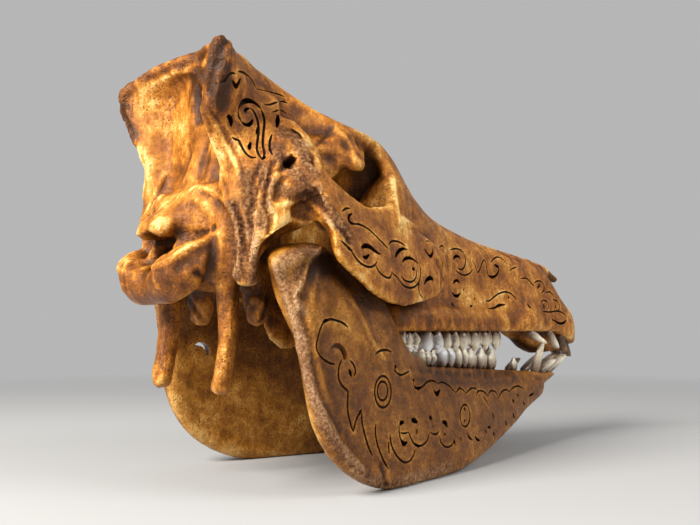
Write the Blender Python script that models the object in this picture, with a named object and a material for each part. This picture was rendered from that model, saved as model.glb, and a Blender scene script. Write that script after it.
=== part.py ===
# Carved wild boar skull: the cranium, the loose lower jaw under it, and forty-four teeth.
#
# The snout points to +X, the animal's left is +Y and the top of the head is +Z. The lower
# borders of the jaw rest on z = 0. Sizes and places are written in millimetres, and MM turns
# them into metres. The left half of each bone is described, and the right half mirrors it.

import math

import bmesh
import bpy
import numpy as np
from mathutils import Vector

MM = 0.001

# Driving dimensions, in millimetres. The places below are counted from the middle of the
# cheek teeth, and FORWARD moves every piece so that the origin is under the skull's middle.
FORWARD = 4.3
GUM_UPPER = 67.0
GUM_UPPER_BEND = 117.0
GUM_UPPER_FRONT = (148.0, 58.0)
GUM_LOWER_BACK = (-25.0, 50.2)
GUM_LOWER_FRONT = (127.0, 41.6)
SOCKET_GAP = 0.35

CRANIUM_VOXEL = 1.7
MANDIBLE_VOXEL = 1.6
CRANIUM_KEPT = 5200
MANDIBLE_KEPT = 2350
RING_POINTS = 20
STEPS_BETWEEN_ROWS = 4

# Half sections of the face and braincase, front to back. Each is a place along the skull and
# the points (half width, height) from the middle of the roof round to the middle of the base.
HEAD_SECTIONS = [
    (146.5, [(0, 76), (4, 76), (7, 73), (8, 66), (7, 58), (4, 55), (0, 55)]),
    (141.0, [(0, 82), (6, 82), (10, 79), (12, 71), (12, 62), (8, 57), (0, 56)]),
    (130.0, [(0, 88), (8, 88), (12, 85), (14, 76), (15, 66), (12, 60), (0, 60)]),
    (113.0, [(0, 108), (8, 105), (13, 99), (15, 84), (16, 70), (13, 65), (0, 65)]),
    (98.0, [(0, 112), (8, 111), (14, 103), (17, 86), (19, 71), (17, 65), (0, 65)]),
    (80.0, [(0, 114.5), (9, 113.5), (15, 107), (19, 90), (22, 73), (20, 65), (0, 65)]),
    (53.0, [(0, 117.5), (10, 117), (17, 110), (20, 93), (23, 74), (22, 64), (0, 64)]),
    (26.0, [(0, 122.5), (12, 122), (20, 114), (24, 96), (28, 78), (28, 64), (0, 64)]),
    (0.0, [(0, 129.5), (15, 129), (24, 121), (29, 104), (30, 80), (32, 64), (0, 64)]),
    (-20.0, [(0, 139.5), (20, 139), (28, 132), (33, 112), (32, 84), (33, 64), (0, 64)]),
    (-30.0, [(0, 148), (23, 147.5), (30, 141), (32, 118), (28, 92), (32, 65), (0, 65)]),
    (-41.0, [(0, 154.5), (26, 154), (33, 149), (26, 130), (21, 100), (28, 66), (0, 66)]),
    (-55.0, [(0, 159), (29, 158.5), (37.5, 155), (23, 143), (17, 114), (17, 80), (0, 78)]),
    (-70.0, [(0, 161), (32, 160), (40, 156), (27, 139), (18, 116), (15, 88), (0, 86)]),
    (-84.0, [(0, 167.5), (27, 166.5), (33, 162), (27, 142), (22, 118), (15, 92), (0, 88)]),
    (-99.0, [(0, 177.5), (19, 177), (24, 173), (29, 150), (30, 122), (18, 90), (0, 86)]),
    (-113.0, [(0, 183), (20, 182), (25, 178.5), (32, 156), (36, 124), (20, 92), (0, 84)]),
    (-123.0, [(0, 188), (22, 186), (29, 181), (31, 160), (36, 128), (22, 96), (0, 84)]),
    (-127.0, [(0, 187), (20, 185), (27, 179), (29, 160), (33, 128), (22, 100), (0, 86)]),
]

# Blades: rows of (one edge, the other edge, thickness) along a process or plate of bone
NASAL_TIP = [
    ((96, 0, 111), (96, 9, 109), 5),
    ((112, 0, 108.5), (112, 9, 106.5), 5),
    ((125, 0, 106), (125, 6, 104.5), 4),
    ((134, 0, 103.5), (134, 3, 103), 3),
]
CREST_WING = [
    ((-114, 4, 184), (-127, 0, 190), 7),
    ((-115, 12, 182), (-129, 12, 188.5), 8),
    ((-118, 20, 177), (-134, 24, 185), 8.5),
    ((-121, 25, 170), (-139, 36, 183), 9),
    ((-123, 28, 163), (-142.5, 44, 179), 9),
    ((-123, 28, 152), (-142, 42.5, 167), 8),
    ((-123, 28, 142), (-139, 37.5, 156), 8),
    ((-123, 28, 132), (-136, 34, 143), 9),
    ((-122, 29, 120), (-133, 37, 130), 11),
    ((-120, 29, 110), (-131, 40, 118), 12),
]
CREST_RIM = [
    ((-128, -4, 188), (-124, -4, 191), 6),
    ((-131, 10, 188), (-127, 10, 190.5), 6),
    ((-135, 22, 184.5), (-131, 22, 187), 6),
    ((-141, 36, 180.5), (-137, 36, 183.5), 6),
    ((-144.5, 44.5, 177), (-141, 45.5, 179.5), 6),
    ((-143.5, 43, 168), (-140, 44, 169), 6),
    ((-140.5, 38, 158), (-137, 39, 159), 5.5),
    ((-138.5, 34, 146), (-135, 35, 147), 5),
]
RIGHT_CREST_LIP = [
    ((-141, 36, 180.5), (-137, 36, 183.5), 6),
    ((-147, 42, 175.5), (-141, 45.5, 179), 7),
    ((-148, 38, 167), (-141, 44, 169), 7.5),
    ((-148, 34, 158.5), (-137.5, 39, 159), 7.5),
    ((-142.5, 31, 147), (-135, 35, 147), 6.5),
    ((-137, 31, 136), (-133, 33, 136), 6),
]
LEFT_CREST_LIP = [
    ((-124, -2, 184), (-127, -2, 190.5), 6),
    ((-127, 8, 184), (-132, 9, 191), 6.5),
    ((-130, 18, 182), (-136, 20, 190), 6.5),
    ((-133, 26, 180), (-139.5, 28, 187.5), 6.5),
    ((-136, 34, 177), (-143, 37, 183), 6),
    ((-138, 40, 174), (-145, 44.5, 178), 5.5),
]
OCCIPUT_SHIELD = [
    ((-122, -18, 140), (-122, 18, 140), 10),
    ((-129, -17, 126), (-129, 17, 126), 10),
    ((-139, -15, 116), (-139, 15, 116), 10),
    ((-148, -11, 109), (-148, 11, 109), 8),
    ((-152, -8, 107), (-152, 8, 107), 5),
]
EXOCCIPITAL = [
    ((-134, 2, 104), (-135, 2, 127), 12),
    ((-134, 16, 102), (-134, 16, 128), 12.5),
    ((-131, 27, 99), (-130, 27, 128), 12.5),
    ((-130, 34, 98), (-129, 35, 122), 11),
]
OCCIPUT_RIB = [
    ((-121, -3, 172), (-125, 0, 172), 5),
    ((-123, -3, 150), (-127, 0, 150), 5),
    ((-128, -4, 132), (-133, 0, 132), 6),
]
NECK_BASE = [
    ((-112, -22, 92), (-112, 22, 92), 18),
    ((-124, -22, 96), (-124, 22, 96), 22),
    ((-134, -18, 97), (-134, 18, 97), 24),
    ((-141, -14, 93), (-141, 14, 93), 24),
]
OCCIPITAL_CONDYLE = [
    ((-141, -2, 80), (-149.5, -2, 89), 10),
    ((-143, 6, 78.5), (-151, 6, 92), 12.5),
    ((-143, 15, 79), (-151.5, 16, 97), 14),
    ((-139, 22.5, 84), (-148, 24, 101.5), 13),
    ((-133, 27.5, 91), (-139.5, 28.5, 105), 9),
]
PARACONDYLAR = [
    ((-117, 28, 120), (-135, 40, 122), 10),
    ((-119, 26, 108), (-136, 37, 112), 10),
    ((-121, 24.5, 98), (-136, 33.5, 99), 11),
    ((-121.5, 21.5, 88), (-133, 29.5, 89), 10.5),
    ((-122, 21.5, 77), (-130.5, 28.5, 77), 9.5),
    ((-122.3, 22, 63), (-130.4, 28.8, 63), 8),
    ((-124.6, 22.2, 50), (-132.6, 28.6, 50), 7.8),
    ((-126, 22, 41), (-132.5, 27, 41), 7),
]
EAR_BULLA = [
    ((-103, 22, 96), (-118, 24, 96), 13),
    ((-104.5, 22, 84), (-117, 24, 84), 13),
    ((-105.5, 22, 75), (-116, 24, 75), 12),
    ((-108, 22.5, 68.5), (-114, 23.5, 68.5), 7),
]
TEMPORAL_ROOT = [
    ((-103, 38.5, 155), (-117, 35, 155), 9),
    ((-98, 45, 145), (-121, 37, 146), 13),
    ((-96, 50, 134), (-125, 38.5, 134), 16),
    ((-97, 53, 123), (-127, 41, 122), 16),
    ((-101, 54, 113), (-128, 43.5, 111), 14),
    ((-112, 51, 104), (-129, 44, 101), 10),
    ((-121.5, 42, 95), (-131.5, 37, 94), 8.5),
    ((-121.5, 41, 88.5), (-131, 36.5, 88.5), 8),
    ((-122, 40, 84), (-130, 37, 84), 6.5),
]
MASTOID_WALL = [
    ((-104, 29, 168), (-128, 29, 168), 5),
    ((-106, 33, 159), (-130, 31.5, 158), 7),
    ((-107, 37, 149), (-132, 34, 149), 9),
    ((-108, 40, 138), (-134, 36.5, 138), 10),
    ((-108, 42.5, 127), (-133.5, 39.5, 127), 10.5),
    ((-110, 42.5, 115), (-132.5, 40, 116), 10.5),
    ((-114, 42, 104), (-131, 36.5, 105), 10),
    ((-122, 40, 96), (-129, 33, 97), 7),
]
TEMPORAL_BRIDGE = [
    ((-98, 28, 120), (-124, 28, 118), 18),
    ((-98, 38, 120), (-123, 38, 119), 26),
    ((-98, 46, 123), (-120, 45, 122), 26),
]
ZYGOMATIC_ARCH = [
    ((-12.5, 37, 88), (-12.5, 35.5, 106), 5),
    ((-17, 40.5, 84.5), (-17, 37.5, 110), 8.5),
    ((-24, 43.5, 82), (-24, 38, 113), 9.5),
    ((-31, 46.5, 80.5), (-31, 38, 116), 9),
    ((-43, 51, 78), (-45, 40, 126), 8),
    ((-57, 55.5, 76.5), (-59, 45, 124.5), 7),
    ((-73, 60, 79), (-74, 50.5, 122.5), 6.5),
    ((-86, 61.5, 86), (-87, 53, 126), 6.5),
    ((-97, 62, 93), (-98, 54, 132), 7.5),
    ((-105.5, 60.5, 101), (-106, 50, 142), 9.5),
]
FRONT_ORBIT_RIM = [
    ((-40, 28, 149), (-54, 35, 152), 6.5),
    ((-34, 29, 141), (-50, 36.5, 145), 8),
    ((-31, 31, 132), (-50, 39, 136), 9.5),
    ((-30, 34, 120), (-53, 42, 127), 10.5),
]
POSTORBITAL = [
    ((-69.5, 47, 138.5), (-72, 46, 141.5), 3),
    ((-68.5, 44.5, 140.5), (-77, 41, 156), 6),
    ((-69, 39, 140.5), (-82, 36, 161), 8),
    ((-70, 33, 139), (-86, 31, 164), 11),
    ((-72, 26, 137), (-90, 27, 166), 14),
    ((-75, 18, 134), (-92, 20, 168), 15),
]
PTERYGOID = [
    ((-40, 14, 66), (-40, 13, 84), 5),
    ((-56, 13, 60), (-56, 13, 84), 4.5),
    ((-72, 14, 57), (-74, 14, 86), 4.5),
    ((-80, 15, 64), (-88, 15, 88), 4),
]
CANINE_SWELLING = [
    ((98, 17, 66), (98, 15, 80), 7),
    ((84, 21, 65), (84, 18, 84), 9),
    ((70, 22, 65), (70, 19, 80), 7),
]
MOLAR_RIDGE = [
    ((58, 22, 64), (58, 21, 76), 8),
    ((30, 26, 64), (30, 25, 78), 11),
    ((0, 29, 64), (0, 29, 80), 14),
    ((-26, 30, 64), (-26, 30, 80), 14),
    ((-40, 30, 65), (-40, 29, 80), 11),
]

JAW_BODY = [
    ((98, 15, 29), (98, 16, 43), 8),
    ((86, 18, 25.5), (86, 17.5, 46), 9.5),
    ((73, 21.5, 21.5), (73, 17.5, 47), 10.5),
    ((58, 26, 16), (58, 20, 48.5), 12),
    ((43, 30, 11), (43, 22.5, 49.5), 12.5),
    ((17, 38, 4.5), (17, 27, 51), 13.5),
    ((-8, 45, 0), (-10, 31, 53), 13.5),
    ((-30, 49, -1), (-33, 36.5, 57), 12),
    ((-45, 52, -1), (-46, 41, 67), 10),
    ((-62, 54.5, -1), (-60, 45, 84), 8.5),
    ((-80, 56, 7), (-77, 48, 98), 7.5),
    ((-94, 56.5, 17), (-93, 50, 101), 7.5),
    ((-104, 56.5, 30), (-106, 51, 100), 8),
    ((-109, 56, 45), (-115, 51, 92), 8),
]
JAW_REAR_BORDER = [
    ((-121, 52.5, 90), (-115, 50, 92), 7.5),
    ((-118, 54.5, 79), (-111, 52, 80), 8),
    ((-114.5, 56.5, 66), (-107, 54.5, 67), 8.5),
    ((-112, 58, 52), (-104, 56, 54), 8.5),
    ((-110.5, 58.5, 40), (-102, 57, 44), 8.5),
    ((-106.5, 58.5, 27.5), (-98, 57, 33), 8.5),
    ((-96.5, 58, 14.5), (-90, 56.5, 21), 8.5),
    ((-81, 56.5, 4.5), (-75, 55, 12), 8.5),
    ((-62, 54, -1), (-58, 53, 8), 8),
    ((-44, 51, -1), (-42, 50, 6), 7.5),
    ((-24, 47.5, -1), (-22, 46.5, 6), 7.5),
]
JAW_CONDYLE = [
    ((-100, 32, 97), (-112, 32, 95), 8),
    ((-94, 38, 99), (-117, 38, 95), 10.5),
    ((-92, 45, 99.5), (-122, 46, 94.5), 12.5),
    ((-95, 51, 98), (-124.5, 52, 92), 12),
    ((-103, 56, 95), (-121, 56.5, 90), 8),
]
JAW_NECK = [
    ((-94, 46.5, 97), (-120.5, 48, 90), 15.5),
    ((-94, 48.5, 88), (-119.5, 50, 82), 16),
    ((-95, 51, 79), (-117.5, 53, 74), 14),
    ((-96, 53.5, 68), (-114.5, 56, 65), 10),
]
CORONOID = [
    ((-60, 43, 78), (-88, 45, 84), 7),
    ((-68, 42.5, 92), (-88, 44, 93), 6),
    ((-74, 41.5, 102), (-85, 42, 102), 5),
    ((-78, 41, 108), (-82, 41, 108), 3.5),
]
CHIN_SECTIONS = [
    (64.0, [(0, 40), (8, 41), (16, 44), (20, 38), (19, 29), (10, 25), (0, 25)]),
    (78.0, [(0, 39), (8, 40), (15, 44), (19, 38), (18, 28), (9, 24.5), (0, 24)]),
    (94.0, [(0, 38), (8, 39), (14, 44), (17, 39), (14.5, 32), (7, 29), (0, 28.5)]),
    (108.0, [(0, 38.5), (8, 40), (12, 43.5), (14, 40), (11.5, 35.5), (6, 33.5), (0, 33)]),
    (120.0, [(0, 40), (6, 41), (10, 43), (11, 41), (8, 38.5), (4, 37.5), (0, 37)]),
    (127.0, [(0, 40.5), (4, 41.5), (7, 42.5), (8, 41.5), (6, 40), (3, 39), (0, 39)]),
]

# Teeth: name, place along the row, half width of the row there, length, width, crown height
UPPER_CHEEK_TEETH = [
    ("molar_3", -29.0, 29.5, 16.0, 12.0, 8.0),
    ("molar_2", -12.5, 29.5, 15.5, 13.0, 9.5),
    ("molar_1", 2.0, 28.5, 12.5, 12.5, 9.0),
    ("premolar_4", 14.3, 27.5, 11.0, 10.5, 9.0),
    ("premolar_3", 25.5, 26.5, 10.5, 8.5, 9.0),
    ("premolar_2", 36.2, 25.0, 10.0, 7.0, 8.5),
    ("premolar_1", 47.0, 23.5, 8.5, 5.5, 9.0),
]
LOWER_CHEEK_TEETH = [
    ("molar_3", -17.0, 30.5, 15.0, 9.5, 6.5),
    ("molar_2", -2.0, 29.5, 14.0, 10.0, 8.0),
    ("molar_1", 11.3, 27.5, 11.5, 9.5, 8.5),
    ("premolar_4", 22.7, 25.5, 10.5, 8.0, 9.0),
    ("premolar_3", 33.4, 24.0, 10.0, 7.0, 9.5),
    ("premolar_2", 43.8, 22.5, 9.5, 6.0, 9.0),
    ("premolar_1", 69.0, 18.5, 7.0, 4.0, 6.5),
]

# Front teeth: name, (place along the row, half width), tip, length and width at the root
FRONT_TEETH = [
    ("upper_canine", (84.5, 21.5), (91.0, 25.5, 59.5), 9.0, 6.5),
    ("upper_incisor_3", (111.0, 14.5), (118.0, 14.0, 57.0), 7.5, 4.5),
    ("upper_incisor_2", (127.0, 10.5), (132.5, 9.0, 54.5), 7.5, 4.5),
    ("upper_incisor_1", (138.5, 5.0), (144.5, 3.2, 51.5), 7.0, 5.0),
    ("lower_canine", (90.0, 17.5), (93.0, 21.5, 61.5), 8.0, 6.5),
    ("lower_incisor_3", (104.5, 12.6), (115.0, 13.5, 50.0), 6.5, 4.0),
    ("lower_incisor_2", (115.0, 8.8), (131.5, 8.8, 52.0), 6.0, 4.5),
    ("lower_incisor_1", (121.5, 3.9), (140.0, 3.1, 52.5), 6.0, 4.8),
]

BONE_BROWN = (0.42, 0.21, 0.07)
JAW_OLIVE = (0.33, 0.18, 0.07)
ENAMEL = (0.72, 0.66, 0.54)


def material(name, colour, roughness):
    """A plain finish with the colour and gloss of one of the real surfaces."""
    mat = bpy.data.materials.new(name)
    mat.use_nodes = True
    shader = mat.node_tree.nodes["Principled BSDF"]
    shader.inputs["Base Color"].default_value = (*colour, 1.0)
    shader.inputs["Roughness"].default_value = roughness
    shader.inputs["Metallic"].default_value = 0.0
    return mat


def spline(rows, steps=STEPS_BETWEEN_ROWS):
    """Rows of numbers with smooth rows filled in between them (Catmull-Rom)."""
    rows = np.array(rows, float)
    ends = np.vstack([2 * rows[0] - rows[1], rows, 2 * rows[-1] - rows[-2]])
    out = []
    for i in range(1, len(ends) - 2):
        a, b, c, d = ends[i - 1:i + 3]
        for s in range(steps):
            t = s / steps
            out.append(0.5 * (2 * b + (c - a) * t + (2 * a - 5 * b + 4 * c - d) * t * t
                              + (3 * b - a - 3 * c + d) * t ** 3))
    out.append(rows[-1])
    return np.array(out)


def tube(bm, rings):
    """A closed body through rings of points, with flat caps at its ends."""
    loops = [[bm.verts.new(Vector(p) * MM) for p in ring] for ring in rings]
    count = len(loops[0])
    faces = []
    for near, far in zip(loops, loops[1:]):
        for i in range(count):
            j = (i + 1) % count
            faces.append(bm.faces.new((near[i], near[j], far[j], far[i])))
    faces.append(bm.faces.new(loops[0][::-1]))
    faces.append(bm.faces.new(loops[-1]))
    bmesh.ops.recalc_face_normals(bm, faces=faces)


def blade(bm, rows, sides=(1, -1)):
    """A plate or process of bone: an oval section that runs from edge to edge of each row."""
    flat = spline([(*p, *q, t) for p, q, t in rows])
    middle = (flat[:, 0:3] + flat[:, 3:6]) / 2
    reach = (flat[:, 3:6] - flat[:, 0:3]) / 2
    along = np.gradient(middle, axis=0)
    for side in sides:
        rings = []
        for m, r, a, t in zip(middle, reach, along, flat[:, 6]):
            across = np.cross(a, r)
            across *= t / 2 / (np.linalg.norm(across) + 1e-9)
            ring = []
            for k in range(RING_POINTS):
                angle = 2 * math.pi * k / RING_POINTS
                c, s = math.cos(angle), math.sin(angle)
                p = m + r * c + across * math.copysign(abs(s) ** 0.7, s)
                ring.append((p[0], p[1] * side, p[2]))
            rings.append(ring)
        tube(bm, rings)


def sections(bm, table):
    """A body symmetric about y = 0 through half sections that stand across the skull."""
    rows = spline([[x] + [v for p in points for v in p] for x, points in table])
    rings = []
    for row in rows:
        half = spline(np.array(row[1:]).reshape(-1, 2), 3)
        left = [(row[0], max(w, 0.0), z) for w, z in half]
        right = [(row[0], -w, z) for _, w, z in left[-2:0:-1]]
        rings.append(left + right)
    tube(bm, rings)


def mesh_object(name, bm):
    mesh = bpy.data.meshes.new(name)
    bm.to_mesh(mesh)
    bm.free()
    obj = bpy.data.objects.new(name, mesh)
    obj.location.x = FORWARD * MM
    bpy.context.scene.collection.objects.link(obj)
    return obj


def cutter(name, rows, sides=(1, -1)):
    """A body that is only cut away from a bone."""
    bm = bmesh.new()
    blade(bm, rows, sides)
    obj = mesh_object(name, bm)
    obj.hide_render = True
    obj.display_type = "WIRE"
    return obj


def box_cutter(name, low, high, tilt=0.0):
    """A box that trims a border flat. Tilt drops its front end, in millimetres."""
    bm = bmesh.new()
    x0, y0, z0 = low
    x1, y1, z1 = high
    rings = []
    for x, drop in ((x0, 0.0), (x1, tilt)):
        rings.append([(x, y0, z0 - drop), (x, y1, z0 - drop), (x, y1, z1 - drop), (x, y0, z1 - drop)])
    tube(bm, rings)
    obj = mesh_object(name, bm)
    obj.hide_render = True
    obj.display_type = "WIRE"
    return obj


def cut(obj, tool):
    step = obj.modifiers.new("cut_" + tool.name, "BOOLEAN")
    step.operation = "DIFFERENCE"
    step.solver = "EXACT"
    step.object = tool


def grow_together(obj, voxel, smoothing):
    """Fuses the overlapping bodies of one bone into one skin and softens their joins."""
    new_skin(obj, "fuse", voxel)
    soften = obj.modifiers.new("soften", "SMOOTH")
    soften.factor = 0.5
    soften.iterations = smoothing


def new_skin(obj, name, voxel):
    """One even, closed skin over all that the bone is made of so far."""
    skin = obj.modifiers.new(name, "REMESH")
    skin.mode = "VOXEL"
    skin.voxel_size = voxel * MM


def facet(obj, triangles):
    """Reduces the bone's skin to that many triangles, as fixed geometry."""
    bpy.context.view_layer.update()
    evaluated = obj.evaluated_get(bpy.context.evaluated_depsgraph_get())
    count = sum(len(p.vertices) - 2 for p in evaluated.data.polygons)
    step = obj.modifiers.new("facet", "DECIMATE")
    step.ratio = triangles / count


def finish(obj, mat):
    obj.data.materials.append(mat)
    for polygon in obj.data.polygons:
        polygon.use_smooth = True
    return obj


def make_cranium(bone):
    bm = bmesh.new()
    sections(bm, HEAD_SECTIONS)
    for rows in (CREST_WING, CREST_RIM, OCCIPITAL_CONDYLE, PARACONDYLAR, EAR_BULLA, TEMPORAL_ROOT,
                 MASTOID_WALL, TEMPORAL_BRIDGE, ZYGOMATIC_ARCH, FRONT_ORBIT_RIM, POSTORBITAL,
                 PTERYGOID, CANINE_SWELLING, MOLAR_RIDGE, NASAL_TIP,
                 OCCIPUT_RIB, EXOCCIPITAL):
        blade(bm, rows)
    for rows in (OCCIPUT_SHIELD, NECK_BASE, LEFT_CREST_LIP):
        blade(bm, rows, sides=(1,))
    blade(bm, RIGHT_CREST_LIP, sides=(-1,))
    skull = mesh_object("cranium", bm)
    grow_together(skull, CRANIUM_VOXEL, 3)

    foramen = cutter("foramen_magnum", [
        ((-160, -9.5, 100), (-160, 9.5, 100), 17),
        ((-144, -9, 100), (-144, 9, 100), 16),
        ((-120, -8, 99), (-120, 8, 99), 14),
    ], sides=(1,))
    nostrils = cutter("nasal_opening", [
        ((160, -8, 92), (160, 8, 92), 26),
        ((140, -8.5, 89), (140, 8.5, 89), 22),
        ((120, -8.5, 89), (120, 8.5, 89), 22),
        ((95, -7.5, 90), (95, 7.5, 90), 18),
        ((70, -5, 90), (70, 5, 90), 12),
    ], sides=(1,))
    palate = cutter("palate_vault", [
        ((128, -6, 61), (128, 6, 61), 12),
        ((90, -11, 61), (90, 11, 61), 18),
        ((30, -15, 61), (30, 15, 61), 24),
        ((-30, -17, 61), (-30, 17, 61), 30),
        ((-70, -10, 66), (-70, 10, 66), 34),
        ((-100, -8, 66), (-100, 8, 66), 26),
    ], sides=(1,))
    ears = cutter("ear_canals", [
        ((-116.5, 60, 136.5), (-112, 60, 136.5), 7),
        ((-116.5, 44, 133), (-112, 44, 133), 6.5),
        ((-115.5, 32, 127), (-113, 32, 127), 4),
    ])
    hinge_hollows = cutter("jaw_hinge_hollows", [
        ((-95, 63, 88), (-127.5, 47, 86), 23),
        ((-100, 62, 98), (-126.5, 45.5, 96), 23),
        ((-101, 62, 104.5), (-124, 47, 103), 21),
        ((-104, 64, 110), (-117, 53.5, 109.5), 15.5),
        ((-107, 62, 117), (-114, 51, 117), 15),
        ((-109, 61, 123), (-111, 56, 123), 9),
    ])
    for tool in (foramen, nostrils, palate, ears, hinge_hollows):
        cut(skull, tool)
    new_skin(skull, "even_out", CRANIUM_VOXEL)
    facet(skull, CRANIUM_KEPT)
    gums = box_cutter("upper_gum_trim", (-44, -45, 40), (GUM_UPPER_BEND, 45, GUM_UPPER))
    x1, z1 = GUM_UPPER_FRONT
    front_gums = box_cutter("front_gum_trim", (GUM_UPPER_BEND - 0.5, -45, 40), (x1, 45, GUM_UPPER),
                            tilt=GUM_UPPER - z1)
    cut(skull, gums)
    cut(skull, front_gums)
    return finish(skull, bone)


def make_mandible(bone):
    bm = bmesh.new()
    sections(bm, CHIN_SECTIONS)
    for rows in (JAW_BODY, JAW_REAR_BORDER, JAW_CONDYLE, JAW_NECK, CORONOID):
        blade(bm, rows)
    jaw = mesh_object("mandible", bm)
    grow_together(jaw, MANDIBLE_VOXEL, 3)
    facet(jaw, MANDIBLE_KEPT)
    (x0, z0), (x1, z1) = GUM_LOWER_BACK, GUM_LOWER_FRONT
    gums = box_cutter("lower_gum_trim", (x0, -45, z0), (x1, 45, z0 + 12), tilt=z0 - z1)
    ground = box_cutter("rest_trim", (-140, -70, -20), (140, 70, 0.0))
    cut(jaw, gums)
    cut(jaw, ground)
    return finish(jaw, bone)


def root_height(x, upper):
    """Height of a tooth's root face at x: just clear of the flat gum that it stands on."""
    if not upper:
        (x0, z0), (x1, z1) = GUM_LOWER_BACK, GUM_LOWER_FRONT
        return z0 + (x - x0) * (z1 - z0) / (x1 - x0) + SOCKET_GAP
    x1, z1 = GUM_UPPER_FRONT
    fall = max(0.0, x - GUM_UPPER_BEND + 0.5) * (GUM_UPPER - z1) / (x1 - GUM_UPPER_BEND)
    return GUM_UPPER - fall - SOCKET_GAP


def cheek_tooth(name, x, y, length, width, height, upper, mat):
    """A crown with a bulging waist and four cusps round a low middle."""
    sign = -1.0 if upper else 1.0
    base = root_height(x if upper else x - length / 2, upper)
    bm = bmesh.new()
    rings = []
    for level, swell in ((0.0, 0.82), (0.45, 1.0), (1.0, 0.78)):
        ring = []
        for k in range(8):
            angle = 2 * math.pi * k / 8
            c, s = math.cos(angle), math.sin(angle)
            reach = 1.0 / max(abs(c), abs(s)) ** 0.7
            rise = level * height
            if level == 1.0 and k % 2 == 0:
                rise -= 0.3 * height
            ring.append((x + c * reach * swell * length / 2 * 0.86,
                         y + s * reach * swell * width / 2 * 0.86,
                         base + sign * rise))
        rings.append([bm.verts.new(Vector(p) * MM) for p in ring])
    for low, high in zip(rings, rings[1:]):
        for k in range(8):
            j = (k + 1) % 8
            bm.faces.new((low[k], low[j], high[j], high[k]))
    bm.faces.new(rings[0][::-1])
    middle = bm.verts.new(Vector((x, y, base + sign * 0.62 * height)) * MM)
    for k in range(8):
        bm.faces.new((rings[-1][k], rings[-1][(k + 1) % 8], middle))
    bmesh.ops.recalc_face_normals(bm, faces=bm.faces[:])
    return finish(mesh_object(name, bm), mat)


def front_tooth(name, root, tip, length, width, upper, mat):
    """A canine or an incisor: a tapering peg from its flat root to its tip."""
    root = np.array((*root, root_height(root[0], upper)))
    tip = np.array(tip, float)
    bm = bmesh.new()
    rings = []
    for level, taper in ((0.0, 1.0), (0.4, 0.92), (0.8, 0.58)):
        centre = root + (tip - root) * level
        ring = []
        for k in range(8):
            angle = 2 * math.pi * k / 8
            x = centre[0] + math.cos(angle) * taper * length / 2
            y = centre[1] + math.sin(angle) * taper * width / 2
            z = root_height(x, upper) if level == 0.0 else centre[2]
            ring.append(bm.verts.new(Vector((x, y, z)) * MM))
        rings.append(ring)
    for low, high in zip(rings, rings[1:]):
        for k in range(8):
            j = (k + 1) % 8
            bm.faces.new((low[k], low[j], high[j], high[k]))
    bm.faces.new(rings[0][::-1])
    point = bm.verts.new(Vector(tip) * MM)
    for k in range(8):
        bm.faces.new((rings[-1][k], rings[-1][(k + 1) % 8], point))
    bmesh.ops.recalc_face_normals(bm, faces=bm.faces[:])
    return finish(mesh_object(name, bm), mat)


def make_teeth(enamel):
    for side, sign in (("left", 1.0), ("right", -1.0)):
        for jaw, table, upper in (("upper", UPPER_CHEEK_TEETH, True), ("lower", LOWER_CHEEK_TEETH, False)):
            for kind, x, y, length, width, height in table:
                name = jaw + "_" + side + "_" + kind
                cheek_tooth(name, x, sign * y, length, width, height, upper, enamel)
        for kind, root, tip, length, width in FRONT_TEETH:
            jaw, tooth = kind.split("_", 1)
            name = jaw + "_" + side + "_" + tooth
            front_tooth(name, (root[0], sign * root[1]), (tip[0], sign * tip[1], tip[2]),
                        length, width, jaw == "upper", enamel)


def main():
    for obj in list(bpy.data.objects):
        bpy.data.objects.remove(obj)
    make_cranium(material("varnished_bone", BONE_BROWN, 0.35))
    make_mandible(material("olive_bone", JAW_OLIVE, 0.4))
    make_teeth(material("tooth_enamel", ENAMEL, 0.3))


main()
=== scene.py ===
# %% [markdown]
# # A carved boar skull
# The thing on the table is the skull of a wild boar: a cranium that grew as one bone, a lower jaw that lies
# loose under it, and forty-four teeth. A carver has cut scrolls, rings and flames into its sides and
# varnished it a warm orange-brown. The frame holds the plain solids; here they become bone and enamel.

# %% Load the plain solids
import math
from collections import Counter
from contextlib import contextmanager

import bpy
import numpy as np
from mathutils import Matrix, Vector, noise
from mathutils.bvhtree import BVHTree
from mathutils.kdtree import KDTree


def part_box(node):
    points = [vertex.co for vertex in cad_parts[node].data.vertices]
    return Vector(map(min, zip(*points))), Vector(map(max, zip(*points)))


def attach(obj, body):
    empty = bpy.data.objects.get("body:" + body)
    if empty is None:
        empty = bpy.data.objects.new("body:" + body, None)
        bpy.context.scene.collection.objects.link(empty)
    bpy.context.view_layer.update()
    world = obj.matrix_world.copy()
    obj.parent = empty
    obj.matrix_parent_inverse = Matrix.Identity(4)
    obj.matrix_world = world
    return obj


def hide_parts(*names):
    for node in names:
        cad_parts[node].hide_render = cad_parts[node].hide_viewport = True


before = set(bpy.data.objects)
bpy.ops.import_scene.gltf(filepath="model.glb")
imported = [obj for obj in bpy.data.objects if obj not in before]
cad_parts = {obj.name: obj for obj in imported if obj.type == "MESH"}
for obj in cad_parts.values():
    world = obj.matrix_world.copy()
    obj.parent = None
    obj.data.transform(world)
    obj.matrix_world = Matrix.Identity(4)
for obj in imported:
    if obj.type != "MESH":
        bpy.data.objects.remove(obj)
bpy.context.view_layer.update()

MM = 0.001

# %% [markdown]
# ## The camera
# The carving is placed from the photograph, so the camera comes first. The same ray through a pixel
# that shows the skull in the picture also tells where the carver's tool went over the bone.

# %% Place the camera
PICTURE_WIDE = 700
PICTURE_HIGH = 525
FOCAL_PIXELS = 790.0
SENSOR_MM = 36.0
EYE = Vector((-0.29567, -0.30359, 0.06616))
TURN = math.radians(40.7)
TILT = math.radians(5.1)

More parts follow.
